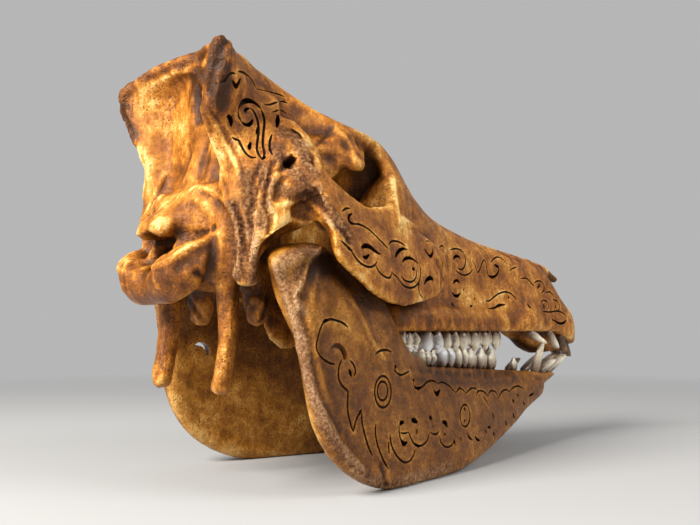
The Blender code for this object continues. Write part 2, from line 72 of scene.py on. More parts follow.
level = Vector((math.sin(TURN), math.cos(TURN), 0))
right = Vector((math.cos(TURN), -math.sin(TURN), 0))
ahead = level * math.cos(TILT) + Vector((0, 0, math.sin(TILT)))
upward = Vector((0, 0, math.cos(TILT))) - level * math.sin(TILT)

bpy.ops.object.camera_add(location=EYE)
camera = bpy.context.object
camera.name = "Camera"
turned = Matrix((right, upward, -ahead)).transposed().to_4x4()
camera.matrix_world = Matrix.Translation(EYE) @ turned
camera.data.sensor_width = SENSOR_MM
camera.data.lens = SENSOR_MM * FOCAL_PIXELS / PICTURE_WIDE
camera.data.clip_start = 0.01
bpy.context.scene.camera = camera
print("lens:", round(camera.data.lens, 2), "mm")

# %% [markdown]
# ## Working by hand
# Blender's operators act on whatever is selected and active. So each job starts by choosing its piece, and
# edit mode is opened on all of it, or on points or faces that code has found by their place.

# %% Choose, edit and finish a piece
def choose(*pieces):
    """Select these pieces alone, the first one active."""
    bpy.ops.object.select_all(action="DESELECT")
    for piece in pieces:
        piece.select_set(True)
    bpy.context.view_layer.objects.active = pieces[0]


@contextmanager
def editing(piece, numbers=None, kind="VERT"):
    """Edit mode on a piece, with all of it selected, or the points or faces of these numbers."""
    choose(piece)
    bpy.ops.object.mode_set(mode="EDIT")
    bpy.ops.mesh.select_mode(type=kind)
    bpy.ops.mesh.select_all(action="SELECT" if numbers is None else "DESELECT")
    if numbers is not None:
        bpy.ops.object.mode_set(mode="OBJECT")
        parts = piece.data.vertices if kind == "VERT" else piece.data.polygons
        for i in numbers:
            parts[i].select = True
        bpy.ops.object.mode_set(mode="EDIT")
    yield
    bpy.ops.object.mode_set(mode="OBJECT")


def finish_with(piece, kind, **settings):
    """Add a modifier, set it and apply it."""
    choose(piece)
    modifier = piece.modifiers.new(kind.title(), kind)
    for name, value in settings.items():
        setattr(modifier, name, value)
    bpy.ops.object.modifier_apply(modifier=modifier.name)


def new_piece(name, data):
    """An object of this mesh or curve, in the scene."""
    piece = bpy.data.objects.new(name, data)
    bpy.context.scene.collection.objects.link(piece)
    return piece


# %% Read and move a piece's points
def read(parts, name, width, kind=float):
    """One measure of all the points or edges of a mesh, as an array."""
    numbers = np.empty(len(parts) * width, kind)
    parts.foreach_get(name, numbers)
    return numbers.reshape(-1, width)


def points_of(piece):
    return read(piece.data.vertices, "co", 3)


def normals_of(piece):
    return read(piece.data.vertex_normals, "vector", 3)


def edges_of(piece):
    return read(piece.data.edges, "vertices", 2, int)


def surface_of(piece):
    """A tree that answers where a ray meets the piece."""
    mesh = piece.data
    return BVHTree.FromPolygons([v.co for v in mesh.vertices], [p.vertices[:] for p in mesh.polygons])


def put_points(piece, places):
    """Move the piece's points to new places."""
    piece.data.vertices.foreach_set("co", places.ravel())
    piece.data.update()


# %% Draw a body out of a disc
OFF_CENTRE = (0.3, 0.7, -5)


def numbered(piece):
    """The same piece with its points and faces in a fixed order, as an extrusion's order varies by run."""
    with editing(piece):
        bpy.context.scene.cursor.location = OFF_CENTRE
        bpy.ops.mesh.sort_elements(type="CURSOR_DISTANCE", elements={"VERT", "FACE"})
    bpy.context.scene.cursor.location = (0, 0, 0)
    mesh = bpy.data.meshes.new(piece.name)
    mesh.from_pydata(points_of(piece), [], [face.vertices[:] for face in piece.data.polygons])
    piece.data = mesh
    return piece


def drawn_out(name, sides, stations):
    """A disc drawn out into a body. A station is (height, half length, half width, drift along x)."""
    height, long, wide, drift = stations[0]
    bpy.ops.mesh.primitive_circle_add(vertices=sides, radius=1, fill_type="NGON", location=(0, 0, 0))
    piece = bpy.context.object
    piece.name = name
    with editing(piece):
        bpy.ops.transform.resize(value=(long, wide, 1), center_override=(0, 0, 0))
        bpy.ops.transform.translate(value=(drift, 0, height))
        for before, after in zip(stations, stations[1:]):
            step = (after[3] - before[3], 0, after[0] - before[0])
            bpy.ops.mesh.extrude_region_move(TRANSFORM_OT_translate={"value": step})
            grow = (after[1] / before[1], after[2] / before[2], 1)
            bpy.ops.transform.resize(value=grow, center_override=(after[3], 0, after[0]))
        bpy.ops.mesh.select_all(action="SELECT")
        bpy.ops.mesh.normals_make_consistent(inside=False)
    return numbered(piece)


# %% [markdown]
# ## Bone from the plain solid
# The solid has flat facets. A voxel remesh lays an even net of small squares over it, and smoothing that
# net melts the facets away, as boiling and handling round a real bone. Some forms of the skull are fuller
# than the solid's, so drawn-out bodies are fused in there first: the front of the upper jaw, which holds
# the incisors, the blunt tip of the nasal bones and the bone round each eye.

# %% Bodies that fill the bone out
MIDDLE_BODIES = [
    ("Front of the upper jaw", 12, [
        (0.088, 0.004, 0.004, -0.0690), (0.098, 0.006, 0.0065, -0.0675), (0.106, 0.0075, 0.0085, -0.0640),
        (0.114, 0.0085, 0.0095, -0.0620), (0.130, 0.0080, 0.0090, -0.0620), (0.142, 0.0070, 0.0075, -0.0620),
        (0.1485, 0.0045, 0.0045, -0.0620)]),
    ("Tip of the nasal bones", 12, [
        (0.110, 0.0026, 0.0062, -0.1064), (0.121, 0.0027, 0.0055, -0.1049), (0.131, 0.0028, 0.0045, -0.1027),
        (0.139, 0.0025, 0.0036, -0.1013), (0.1430, 0.0016, 0.0024, -0.1006)]),
]
SIDE_BODIES = [
    ("Corner of the brow", 14, -126, (-0.0683, 0.0310, 0.1500), [
        (-0.004, 0.0185, 0.0052, -0.0030), (0.004, 0.0180, 0.0056, -0.0045), (0.010, 0.0140, 0.0048, -0.0050),
        (0.0145, 0.0085, 0.0038, -0.0030), (0.0190, 0.0026, 0.0024, 0.0004)]),
    ("Root of the brow's corner", 12, 0, (-0.0800, 0.0375, 0), [
        (0.1335, 0.0020, 0.0016, 0.0), (0.136, 0.0058, 0.0032, 0.0), (0.141, 0.0085, 0.0042, 0.0020),
        (0.147, 0.0095, 0.0045, 0.0040), (0.153, 0.0060, 0.0040, 0.0060)]),
    ("Front wall of the eye socket", 12, 0, (-0.0425, 0.0325, 0), [
        (0.112, 0.0040, 0.0040, 0.0), (0.118, 0.0100, 0.0080, -0.0010), (0.126, 0.0125, 0.0095, -0.0010),
        (0.134, 0.0095, 0.0080, 0.0020), (0.142, 0.0050, 0.0050, 0.0050)]),
]


def turned_body(name, sides, stations, turn, place=(0, 0, 0)):
    """A drawn-out body, turned by degrees and put in place."""
    body = drawn_out(name, sides, stations)
    body.rotation_euler = [math.radians(v) for v in turn]
    body.location = place
    choose(body)
    bpy.ops.object.transform_apply(location=True, rotation=True, scale=True)
    low, high = points_of(body).min(0) / MM, points_of(body).max(0) / MM
    print(name, "from", low.round(), "to", high.round())
    return body


fillers = [turned_body(name, sides, stations, (0, 90, 0)) for name, sides, stations in MIDDLE_BODIES]
for side in (-1, 1):
    for name, sides, lean, (x, y, z), stations in SIDE_BODIES:
        fillers.append(turned_body(name, sides, stations, (lean * side, 0, 0), (x, y * side, z)))

# %% Make the two bones
MERGE = 1e-6


def bone_from(node, name, net, rounds, extra=()):
    """A fine, smooth copy of a solid, fused with extra bodies."""
    bone = new_piece(name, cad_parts[node].data.copy())
    choose(bone, *extra)
    if extra:
        bpy.ops.object.join()
    bone.data.materials.clear()
    with editing(bone):
        bpy.ops.mesh.remove_doubles(threshold=MERGE)
    finish_with(bone, "REMESH", mode="VOXEL", voxel_size=net, use_smooth_shade=True)
    finish_with(bone, "SMOOTH", factor=0.5, iterations=rounds)
    print(name, "points:", len(bone.data.vertices))
    return bone


cranium = bone_from("cranium", "Cranium", 1.5 * MM, 5, fillers)
mandible = bone_from("mandible", "Mandible", 1.4 * MM, 7)

# %% [markdown]
# ## From picture to bone
# A stroke of carving is drawn as a few pixels of the photograph. A smooth curve is led through them and
# sent along its rays to the bone, and the same stroke is mirrored onto the far side, which the picture
# doesn't show. A cut follows the stroke; a ridge, a stain, painted light and painted shade take in the
# points near it too.

# %% Smooth a stroke
# pixels from point to point of a channel, a knife's cut and a brush stroke
CHANNEL_STEP = 1.6
KNIFE_STEP = 1.2
BRUSH_STEP = 3


def smooth_line(points, step=CHANNEL_STEP):
    """A smooth curve through the points, as points about one step apart."""
    line = np.array(points, float)
    if len(line) < 3:
        count = max(2, int(np.linalg.norm(line[1] - line[0]) / step) + 1)
        return [tuple(line[0] + (line[1] - line[0]) * i / (count - 1)) for i in range(count)]
    closed = np.allclose(line[0], line[-1])
    before = line[-2] if closed else 2 * line[0] - line[1]
    after = line[1] if closed else 2 * line[-1] - line[-2]
    padded = np.vstack([before, line, after])
    curve = []
    for a, b, c, d in zip(padded, padded[1:], padded[2:], padded[3:]):
        count = max(1, int(round(np.linalg.norm(c - b) / step)))
        for i in range(count):
            t = i / count
            curve.append(0.5 * (2 * b + (c - a) * t + (2 * a - 5 * b + 4 * c - d) * t * t
                                + (3 * b - a - 3 * c + d) * t ** 3))
    return [tuple(p) for p in curve] + [tuple(line[-1])]


# %% Send it to the bone
JUMP = 5 * MM


def ray_through(x, y):
    """The direction of the camera's ray through a pixel."""
    across = (x - PICTURE_WIDE / 2) / FOCAL_PIXELS
    down = (y - PICTURE_HIGH / 2) / FOCAL_PIXELS
    return (ahead + right * across - upward * down).normalized()


def lay(surface, pixels, far_side=False):
    """A pixel line as runs of (point, outward way) on the bone, or the same run on its far side."""
    runs = [[]]
    for x, y in pixels:
        place, way, _, _ = surface.ray_cast(EYE, ray_through(x, y))
        if place is not None and far_side:
            place, way, _, gap = surface.find_nearest(Vector((place.x, -place.y, place.z)))
            place = place if gap < JUMP else None
        if place is None or (runs[-1] and (place - runs[-1][-1][0]).length > JUMP):
            runs.append([])
        if place is not None:
            runs[-1].append((place, way))
    return [run for run in runs if len(run) > 1]


# %% Find the points near a stroke
SAME_SIDE = 0.1


def eased(share):
    """A share from 0 to 1 with soft ends."""
    return share * share * (3 - 2 * share)


def near_run(run, places, ways, reach):
    """The points within reach of a run and on its side of the bone: their numbers and distances."""
    path = np.array([p for p, _ in run])
    inside = ((places > path.min(0) - reach) & (places < path.max(0) + reach)).all(1)
    index = np.where(inside)[0]
    gap = np.full(len(index), reach * reach)
    facing = np.zeros(len(index), bool)
    for point, way in zip(path, np.array([n for _, n in run])):
        apart = ((places[index] - point) ** 2).sum(1)
        closer = apart < gap
        gap[closer] = apart[closer]
        facing[closer] = (ways[index[closer]] @ way) > SAME_SIDE
    return index[facing], np.sqrt(gap[facing])


def brush(surface, places, ways, strokes, reach, soft):
    """Where strokes of a brush pass: 1 within reach (mm) of them, 0 beyond reach and soft, on both sides."""
    mask = np.zeros(len(places))
    for pixels in strokes:
        for far_side in (False, True):
            for run in lay(surface, smooth_line(pixels, BRUSH_STEP), far_side):
                index, gap = near_run(run, places, ways, (reach + soft) * MM)
                mask[index] = np.maximum(mask[index], np.clip((reach + soft - gap / MM) / soft, 0, 1))
    return eased(mask)


# %% [markdown]
# ## Ridges, hollows and sutures
# Muscles leave ridges where they pulled and hollows where they lay, and the skull's plates meet in ragged
# sutures. Each is a stroke with a reach and a height in millimetres, pushed up or down along the surface.

# %% Strokes that shape the cranium
CRANIUM_FORMS = [
    # crest: the lip's two edges, its cavity and the rough rim of the far wing
    ([(222, 37), (210, 52.5), (203, 69), (196, 88), (192, 104)], 2.6, 0.9),
    ([(229.5, 43.5), (225, 58.5), (220.5, 75), (217, 93), (215, 111)], 2.4, 1.1),
    ([(225, 42), (217, 58), (212, 75), (208, 92)], 3.4, -1.0),
    ([(200, 84), (199, 96), (198, 108), (201, 118)], 5.0, -2.0),
    ([(120, 98), (132, 81), (146, 70), (168, 60), (195, 51)], 3.0, 0.9),
    ([(130, 96), (146, 82), (168, 71), (190, 62)], 3.0, -0.5),
    # the bright suture that runs down beside the temple, and the groove along it
    ([(209, 113), (217.5, 126), (225.5, 142), (233, 156), (239, 172)], 2.0, 0.9),
    ([(212, 113), (220.5, 126), (228.5, 142), (236, 156), (242, 173)], 2.0, -0.9),
    ([(210, 133), (207, 147), (202.5, 160), (199.5, 177)], 2.2, -0.7),
    ([(214, 150), (211, 165), (208, 180)], 2.4, 0.5),
    # tubercle over the neck opening
    ([(158, 218), (162, 230)], 7.0, 1.3),
    ([(146.4, 241), (159, 243.5), (175, 240.5)], 2.4, -1.6),
    ([(164.4, 173.6), (155.4, 193.4), (148, 209.6), (141, 221)], 2.2, 0.8),
    # the raised seam behind the hollow beside the neck
    ([(191.4, 190), (198.6, 186.5), (211.2, 191.6), (223.8, 200.6), (231, 211.4), (236.4, 225.8), (239, 242),
      (238.2, 260), (234.6, 276)], 1.9, 0.9),
    ([(201, 192), (212, 197), (220, 207), (226, 222), (229, 238)], 4.6, -1.1),
    ([(235, 206), (241, 222), (243, 242), (242.5, 262), (239, 282)], 1.9, -0.9),
    ([(190, 204), (200, 212), (206, 224)], 4.0, -0.9),
    # neck joint: the blade-like upper edge, the hollow under it and the groove beside the process
    ([(145, 269), (164.4, 263.6), (186, 249.6), (207.6, 240)], 2.6, 1.1),
    ([(206, 247), (191.4, 257.5), (177, 268.5)], 4.0, -0.7),
    ([(212, 240), (213, 252), (211, 268), (206, 282)], 3.6, -2.0),
    ([(172, 264), (160, 270), (150, 278)], 2.6, -0.3),
    ([(128, 262), (121, 276), (124, 290)], 2.4, 0.8),
    ([(197, 273), (206, 280)], 2.6, -1.8),
    # rough zone behind the cheek arch
    ([(273, 163), (270.6, 172.6), (265.8, 187), (264.6, 199), (267, 211), (270.6, 221), (269, 233)], 2.2, -1.5),
    ([(287.4, 158), (276.6, 175), (270.6, 188), (268, 201), (270, 210)], 2.0, 1.0),
    ([(279.5, 170), (285, 165), (291.5, 159.5)], 2.4, -2.6),
    ([(284, 176), (278, 188), (276, 198)], 2.6, -1.2),
    ([(313.5, 157), (314.5, 163)], 2.2, -1.6),
    ([(258.6, 166), (254, 182), (252.6, 194)], 2.0, -1.0),
    ([(263.4, 173.6), (257, 190), (252, 206), (248.5, 214)], 2.0, -1.1),
    ([(248.5, 213), (250.8, 229), (247.5, 250), (244, 270), (245.4, 282)], 1.9, -0.9),
    ([(256, 214), (257.5, 232), (254.5, 252), (252, 272)], 2.6, 0.7),
    # seam along the arch, the rim of the jaw's hollow and the folds in it
    ([(315, 189.4), (319.8, 201.4), (324.6, 209.8), (333, 220.6), (343.8, 231.4), (350, 241)], 1.9, -1.2),
    ([(278, 206), (289.8, 203.5), (297, 200), (303, 197.5), (309, 201), (321, 213), (333, 225)], 2.2, 0.9),
    ([(292.2, 214.6), (303, 217), (316.2, 223), (327, 229)], 2.6, -1.0),
    ([(289.8, 129.4), (297, 133), (301.8, 137.8)], 1.8, -0.9),
    ([(312.6, 148.6), (324.6, 136.6), (333, 128)], 1.8, -0.8),
    # eye socket: the shelf below its rim and the bright edge of the cheek
    ([(393, 178), (396, 200), (399, 221)], 2.6, 0.9),
    ([(402, 219), (409, 223), (416, 228)], 3.2, 1.0),
    ([(335, 130), (345, 137), (350, 147), (355, 158), (359, 166)], 2.4, 1.0),
    ([(330, 158), (340, 156), (348, 160)], 5.0, -1.2),
    ([(352, 138), (360, 148), (363, 157)], 3.5, -0.8),
    # snout: the edge of the nasal bones and the ridge over the cheek teeth
    ([(430, 214), (460, 228), (490, 243), (520, 257), (545, 268)], 2.0, 0.6),
    ([(432, 220), (460, 233), (490, 248), (520, 261)], 2.0, -0.7),
    ([(400, 308), (430, 311), (460, 314), (490, 318)], 6.0, 0.4),
    ([(438, 262), (442, 274), (442, 288)], 3.0, -0.9),
    # bullae: knobs and clefts
    ([(255, 300), (262, 306), (258, 316)], 3.4, 1.0),
    ([(268, 296), (266, 308), (262, 320)], 2.2, -1.3),
    ([(246, 322), (254, 327), (262, 328)], 2.0, 0.9),
    ([(190, 300), (196, 312), (204, 322)], 2.4, -0.9),
    # tips of the two long processes
    ([(221, 372), (216, 384), (221, 390)], 3.0, 0.8),
    ([(163, 376), (157, 388), (163, 393)], 3.0, 0.8),
    ([(231, 300), (230, 325), (226, 350)], 2.4, 0.5),
]
# the roots bulge the gum over each tooth
GUM_BULGES = [404, 412.5, 423, 433, 443, 452, 461, 471, 481.5, 492]
CRANIUM_FORMS += [([(x, 319), (x + 1, 329)], 2.3, 0.5) for x in GUM_BULGES]

# %% Strokes that shape the lower jaw
JAW_FORMS = [
    ([(324, 247), (310, 260.5), (304, 275.5), (300, 287), (295, 296), (297, 308)], 2.6, 1.3),
    ([(324, 256), (314, 269), (311, 281), (306, 296)], 4.5, -1.3),
    ([(332, 259), (340, 271), (350, 281)], 5.5, -1.0),
    ([(322, 262), (322, 280), (318, 300)], 5.5, -0.7),
    ([(276, 262), (280, 280), (288, 300), (296, 325), (300, 350)], 3.5, 1.1),
    ([(303, 318), (311, 340), (314, 362), (319, 384), (328, 406), (340, 428)], 3.0, -1.1),
    ([(303, 356), (308, 380), (318, 405), (331, 430), (348, 454), (364, 472)], 3.2, 1.0),
    ([(352, 470), (364, 478), (376, 484)], 2.4, 0.7),
    ([(382, 466), (385, 476), (387, 486)], 2.4, -1.2),
    ([(352, 300), (362, 318), (372, 340), (384, 358)], 2.4, 0.6),
    ([(398, 372), (430, 376), (470, 379), (510, 379)], 2.6, 0.5),
    ([(536, 378), (546, 378)], 2.2, -0.5),
    ([(500, 372), (512, 372)], 2.2, -0.6),
]
JAW_FORMS += [([(x, 368), (x + 0.5, 377)], 2.2, 0.6) for x in GUM_BULGES[3:]]

# %% Push the forms up and down
def shape_bone(bone, forms):
    """Raise or lower the bone along strokes, on both of its sides."""
    surface = surface_of(bone)
    places = points_of(bone)
    ways = normals_of(bone)
    lifts = {True: np.zeros(len(places)), False: np.zeros(len(places))}
    for pixels, reach, height in forms:
        for far_side in (False, True):
            for run in lay(surface, smooth_line(pixels), far_side):
                index, gap = near_run(run, places, ways, reach * MM)
                lift = lifts[height > 0]
                lift[index] = np.maximum(lift[index], eased(1 - gap / (reach * MM)) * abs(height) * MM)
    put_points(bone, places + ways * (lifts[True] - lifts[False])[:, None])
    print(bone.name, "moved points:", int(((lifts[True] + lifts[False]) > 0).sum()))


shape_bone(cranium, CRANIUM_FORMS)
shape_bone(mandible, JAW_FORMS)

# %% [markdown]
# ## What the finish follows
# Old varnish isn't even. It is darker in the cuts, thin and golden on ridges, and it has worn off the
# rough edges. Hollows and places where the bone hides the sky are also made darker, as painted shade, and
# lit faces and the channels' edges lighter, as painted light. So each point of a bone gets a few numbers:
# how far it stands out from its neighbours, how much sky the bone hides from it, how deep it lies in a
# cut, how near it is to a channel, and how near it is to brush strokes that are laid from the picture in
# the same way as the carving. A material can read such a number by its name.

# %% Measure ridges and hollows
def paint(piece, name, values):
    """One number for each point of a piece, for its material to read."""
    layer = piece.data.attributes.new(name, "FLOAT", "POINT")
    layer.data.foreach_set("value", np.asarray(values, np.float32))


def relief(places, ways, edges, rounds):
    """How far each point stands out from the average of its surroundings, in mm."""
    count = np.maximum(np.bincount(edges.ravel(), minlength=len(places)), 1)
    ends = np.concatenate([edges[:, 0], edges[:, 1]])
    others = np.concatenate([edges[:, 1], edges[:, 0]])
    even = places.copy()
    for _ in range(rounds):
        for axis in range(3):
            sums = np.bincount(ends, weights=even[others, axis], minlength=len(places))
            even[:, axis] = (even[:, axis] + sums / count) / 2
    return ((places - even) * ways).sum(1) / MM


# %% Measure the hidden sky, for painted shade
SHELTER_RAYS = 14
SHELTER_REACH = 28 * MM
LOWEST_RAY = 0.15
OFF_SURFACE = 0.4 * MM
GOLDEN_ANGLE = math.pi * (3 - math.sqrt(5))


def ray_fan():
    """Directions spread evenly over the sky above a point."""
    fan = []
    for i in range(SHELTER_RAYS):
        height = LOWEST_RAY + (1 - LOWEST_RAY) * (i + 0.5) / SHELTER_RAYS
        reach = math.sqrt(1 - height * height)
        fan.append((reach * math.cos(GOLDEN_ANGLE * i), reach * math.sin(GOLDEN_ANGLE * i), height))
    return fan


def shelter(places, ways, surfaces):
    """The share of the sky over each point that bone hides, from 0 to 1."""
    fan = ray_fan()
    hidden = np.zeros(len(places))
    for i, (place, way) in enumerate(zip(places, ways)):
        way = Vector(way)
        side = way.orthogonal().normalized()
        other = way.cross(side)
        start = Vector(place) + way * OFF_SURFACE
        for x, y, z in fan:
            ray = side * x + other * y + way * z
            hidden[i] += any(s.ray_cast(start, ray, SHELTER_REACH)[0] is not None for s in surfaces)
    return hidden / SHELTER_RAYS


# the share of sky that bone hides makes the colour darker in recesses and between the two bones: painted shade
bone_surfaces = [surface_of(cranium), surface_of(mandible)]
occlusion_shade_by_bone = {}
for bone in (cranium, mandible):
    places = points_of(bone)
    occlusion_shade_by_bone[bone.name] = (places, {"shelter": shelter(places, normals_of(bone), bone_surfaces)})
    print(bone.name, "mean shelter:", round(float(occlusion_shade_by_bone[bone.name][1]["shelter"].mean()), 2))

# %% [markdown]
# ## Rough bone
# The rims, the back of the cheek arch and the jaw's rear border are ragged, where muscle and gristle held
# on. The net is made finer there first, so that it can carry bumps of about a millimetre, and noise then
# lifts and lowers it. The crest's rim is rough on a larger scale, and needs no finer net.

# %% Where the bone is rough
CRANIUM_ROUGH = [
    [(282, 131), (296, 138), (306, 156), (314, 174)],
    [(276, 148), (284, 162), (298, 174), (308, 188)],
    [(262, 168), (268, 184), (266, 204), (262, 222)],
    [(246, 176), (250, 200), (252, 230), (253, 262), (254, 280)],
    [(278, 190), (292, 194), (306, 196)],
    [(318, 192), (328, 208), (340, 224), (350, 240)],
    [(232, 205), (238, 228), (238, 252), (234, 276)],
]
RIM_ROUGH = [
    [(118, 99), (128, 85), (145, 73), (165, 64), (190, 55), (206, 50)],
    [(119, 104), (124, 120), (131, 138)],
    [(221, 38), (211, 55), (204, 72), (198, 88)],
]
JAW_ROUGH = [
    [(284, 260), (300, 252), (318, 250)],
    [(277, 268), (284, 290), (292, 312), (299, 335), (302, 352)],
    [(300, 270), (298, 290), (300, 310)],
    [(303, 352), (308, 378), (317, 404), (330, 430), (347, 455), (364, 474), (382, 485)],
    [(392, 486), (420, 478), (450, 466)],
]

# %% Make the net finer and ragged there
def refine(bone, strokes, reach):
    """Halve the squares of the net near the strokes."""
    mask = brush(surface_of(bone), points_of(bone), normals_of(bone), strokes, reach, 1.0)
    picked = [face.index for face in bone.data.polygons if min(mask[i] for i in face.vertices) > 0.5]
    with editing(bone, picked, "FACE"):
        bpy.ops.mesh.subdivide(number_cuts=1, smoothness=0.6)
    print(bone.name, "halved squares:", len(picked))


def roughen(bone, strokes, reach, soft, height, size):
    """Ragged bumps along the strokes, of a height and size in mm."""
    places = points_of(bone)
    ways = normals_of(bone)
    mask = brush(surface_of(bone), places, ways, strokes, reach, soft)
    lift = np.zeros(len(places))
    for i in np.where(mask > 0.01)[0]:
        at = Vector(places[i]) / (size * MM)
        lift[i] = noise.noise(at) + 0.6 * noise.noise(at * 2.3) - 0.35 * abs(noise.noise(at * 0.6))
    put_points(bone, places + ways * (lift * mask * height * MM)[:, None])


refine(cranium, CRANIUM_ROUGH, 2.4)
refine(mandible, JAW_ROUGH, 2.0)
roughen(cranium, CRANIUM_ROUGH, 1.5, 3.5, 0.38, 1.4)
roughen(cranium, RIM_ROUGH, 1.0, 3.0, 0.28, 1.6)
roughen(mandible, JAW_ROUGH, 1.5, 4.0, 0.32, 1.5)

# %% [markdown]
# ## The gouge and the knife
# Two kinds of cut make all of the carving. A round gouge pushed along the bone leaves a narrow channel:
# here a thin tube along the stroke is taken away. A knife cuts commas and drops deep into the bone: here
# their outline is made a plug and taken away. Cuts that keep clear of one another are taken away at once,
# because each Boolean works through the whole bone.

# %% A tube for the gouge's channels
GOUGE = 0.66 * MM
SINK = 0.18 * MM
END_SHARE = 0.5
END_GROWTH = 0.2


def channel_tube(strokes):
    """One body made of the strokes, thin at their ends."""
    data = bpy.data.curves.new("gouge", "CURVE")
    data.dimensions = "3D"
    data.bevel_depth = 1.0
    data.bevel_resolution = 1
    data.use_fill_caps = True
    for run in strokes:
        spline = data.splines.new("POLY")
        closed = (run[0][0] - run[-1][0]).length < MERGE
        run = run[:-1] if closed else run
        spline.points.add(len(run) - 1)
        spline.use_cyclic_u = closed
        for i, (place, way) in enumerate(run):
            taper = 1.0 if closed else min(1.0, END_SHARE + END_GROWTH * min(i, len(run) - 1 - i))
            spline.points[i].co = (*(place - way * SINK * taper), 1.0)
            spline.points[i].radius = GOUGE * taper
    tube = new_piece("gouge", data)
    choose(tube)
    bpy.ops.object.convert(target="MESH")
    with editing(tube):
        bpy.ops.mesh.remove_doubles(threshold=MERGE)
    return tube


# %% A plug for the knife's cuts
ABOVE = 1.2 * MM


def plug(run, widths, depth):
    """A comma, drop or crescent as a closed body that reaches into the bone. Widths are half widths."""
    way = sum((n for _, n in run), Vector()).normalized()
    left = []
    other = []
    for i, (place, _) in enumerate(run):
        after = run[min(i + 1, len(run) - 1)][0]
        before = run[max(i - 1, 0)][0]
        side = way.cross(after - before).normalized()
        wide = np.interp(i / (len(run) - 1), np.linspace(0, 1, len(widths)), widths)
        left.append(place + side * wide)
        other.append(place - side * wide)
    rim = left + other[::-1]
    n = len(rim)
    faces = [tuple(range(n)), tuple(range(2 * n - 1, n - 1, -1))]
    faces += [(i, i + n, (i + 1) % n + n, (i + 1) % n) for i in range(n)]
    mesh = bpy.data.meshes.new("knife")
    mesh.from_pydata([p + way * ABOVE for p in rim] + [p - way * depth for p in rim], [], faces)
    tool = new_piece("knife", mesh)
    with editing(tool):
        bpy.ops.mesh.normals_make_consistent(inside=False)
    return tool


# %% Carve a bone
THROUGH = 14
DEEPEST_SHARE = 0.55
UNDER_SURFACE = 0.3 * MM
KNIVES_APART = 7 * MM
CHANNELS_APART = 5 * GOUGE


def sets_apart(runs, gap):
    """The numbers of the runs in sets whose members keep a gap from one another."""
    paths = [np.array([place for place, _ in run]) for run in runs]
    sets = []
    for i, path in enumerate(paths):
        for members in sets:
            if all(np.abs(path[:, None] - paths[j][None]).sum(2).min() > gap for j in members):
                members.append(i)
                break
        else:
            sets.append([i])
    return sets


def cut_away(bone, tool):
    finish_with(bone, "BOOLEAN", object=tool, operation="DIFFERENCE", solver="MANIFOLD")
    bpy.data.objects.remove(tool)


def thickness(surface, run):
    """The least thickness of the bone under a run."""
    return min(surface.ray_cast(place - way * UNDER_SURFACE, -way)[3] or 1.0 for place, way in run)


def carve(bone, lines, plugs):
    """Cut plugs and channels into both sides of a bone, and give the channels' runs."""
    surface = surface_of(bone)
    channels = []
    knives = []
    for far_side in (False, True):
        for pixels, widths, depth in plugs:
            for run in lay(surface, smooth_line(pixels, KNIFE_STEP), far_side):
                most = 1.0 if depth == THROUGH else DEEPEST_SHARE * thickness(surface, run)
                knives.append((run, [w * MM for w in widths], min(depth * MM, most)))
        for pixels in lines:
            channels += lay(surface, smooth_line(pixels), far_side)
    knife_sets = sets_apart([run for run, _, _ in knives], KNIVES_APART)
    for members in knife_sets:
        tools = [plug(*knives[i]) for i in members]
        choose(*tools)
        if len(tools) > 1:
            bpy.ops.object.join()
        cut_away(bone, tools[0])
    channel_sets = sets_apart(channels, CHANNELS_APART)
    for members in channel_sets:
        cut_away(bone, channel_tube([channels[i] for i in members]))
    print(bone.name, "plugs:", len(knives), "channels:", len(channels),
          "cuts:", len(knife_sets + channel_sets))
    return channels


# %% [markdown]
# ## The carver's strokes
# The ornament is a run of scrolls, rings, drops and flames. A line is a channel's pixels. A plug is its
# middle line's pixels, its half widths along that line and its depth, both in millimetres.

# %% Strokes of the temple
TEMPLE_LINES = [
    [(261, 109), (263.5, 116), (264.5, 122), (263.8, 130), (263, 138), (263, 146), (264.5, 153), (263, 158)],
    [(249.6, 108), (253, 110), (256, 116), (258.2, 123), (258.6, 132), (257.4, 142), (257, 149), (259, 155),
     (262, 159)],
    [(238.3, 110), (238.8, 116), (241.5, 121.5)],
    [(220.5, 82), (224.5, 81), (227, 77.3), (229.5, 74.5), (233, 73), (236, 74)],
    [(238, 71.2), (243, 72.4), (248, 75.5), (252, 80), (254.5, 84.5), (256, 88)],
    [(256, 88.6), (262, 90), (270, 92), (278, 94), (284, 96.4)],
    [(263.5, 103.8), (268, 104.8), (273, 103.6), (277, 102), (283, 101.4), (287.5, 103)],
    [(271.5, 112.4), (275, 111.4), (279, 109.8), (283, 110.8), (286.5, 114)],
    [(272, 134), (270.2, 140), (269.6, 147), (271, 152), (272.6, 155)],
    [(232, 137), (235, 139), (238.8, 140.4), (241.5, 146), (245, 152), (249, 156), (253, 157.6), (256.4, 157)],
    [(290, 128.4), (294, 130.8), (299, 134), (302, 137.6)],
]
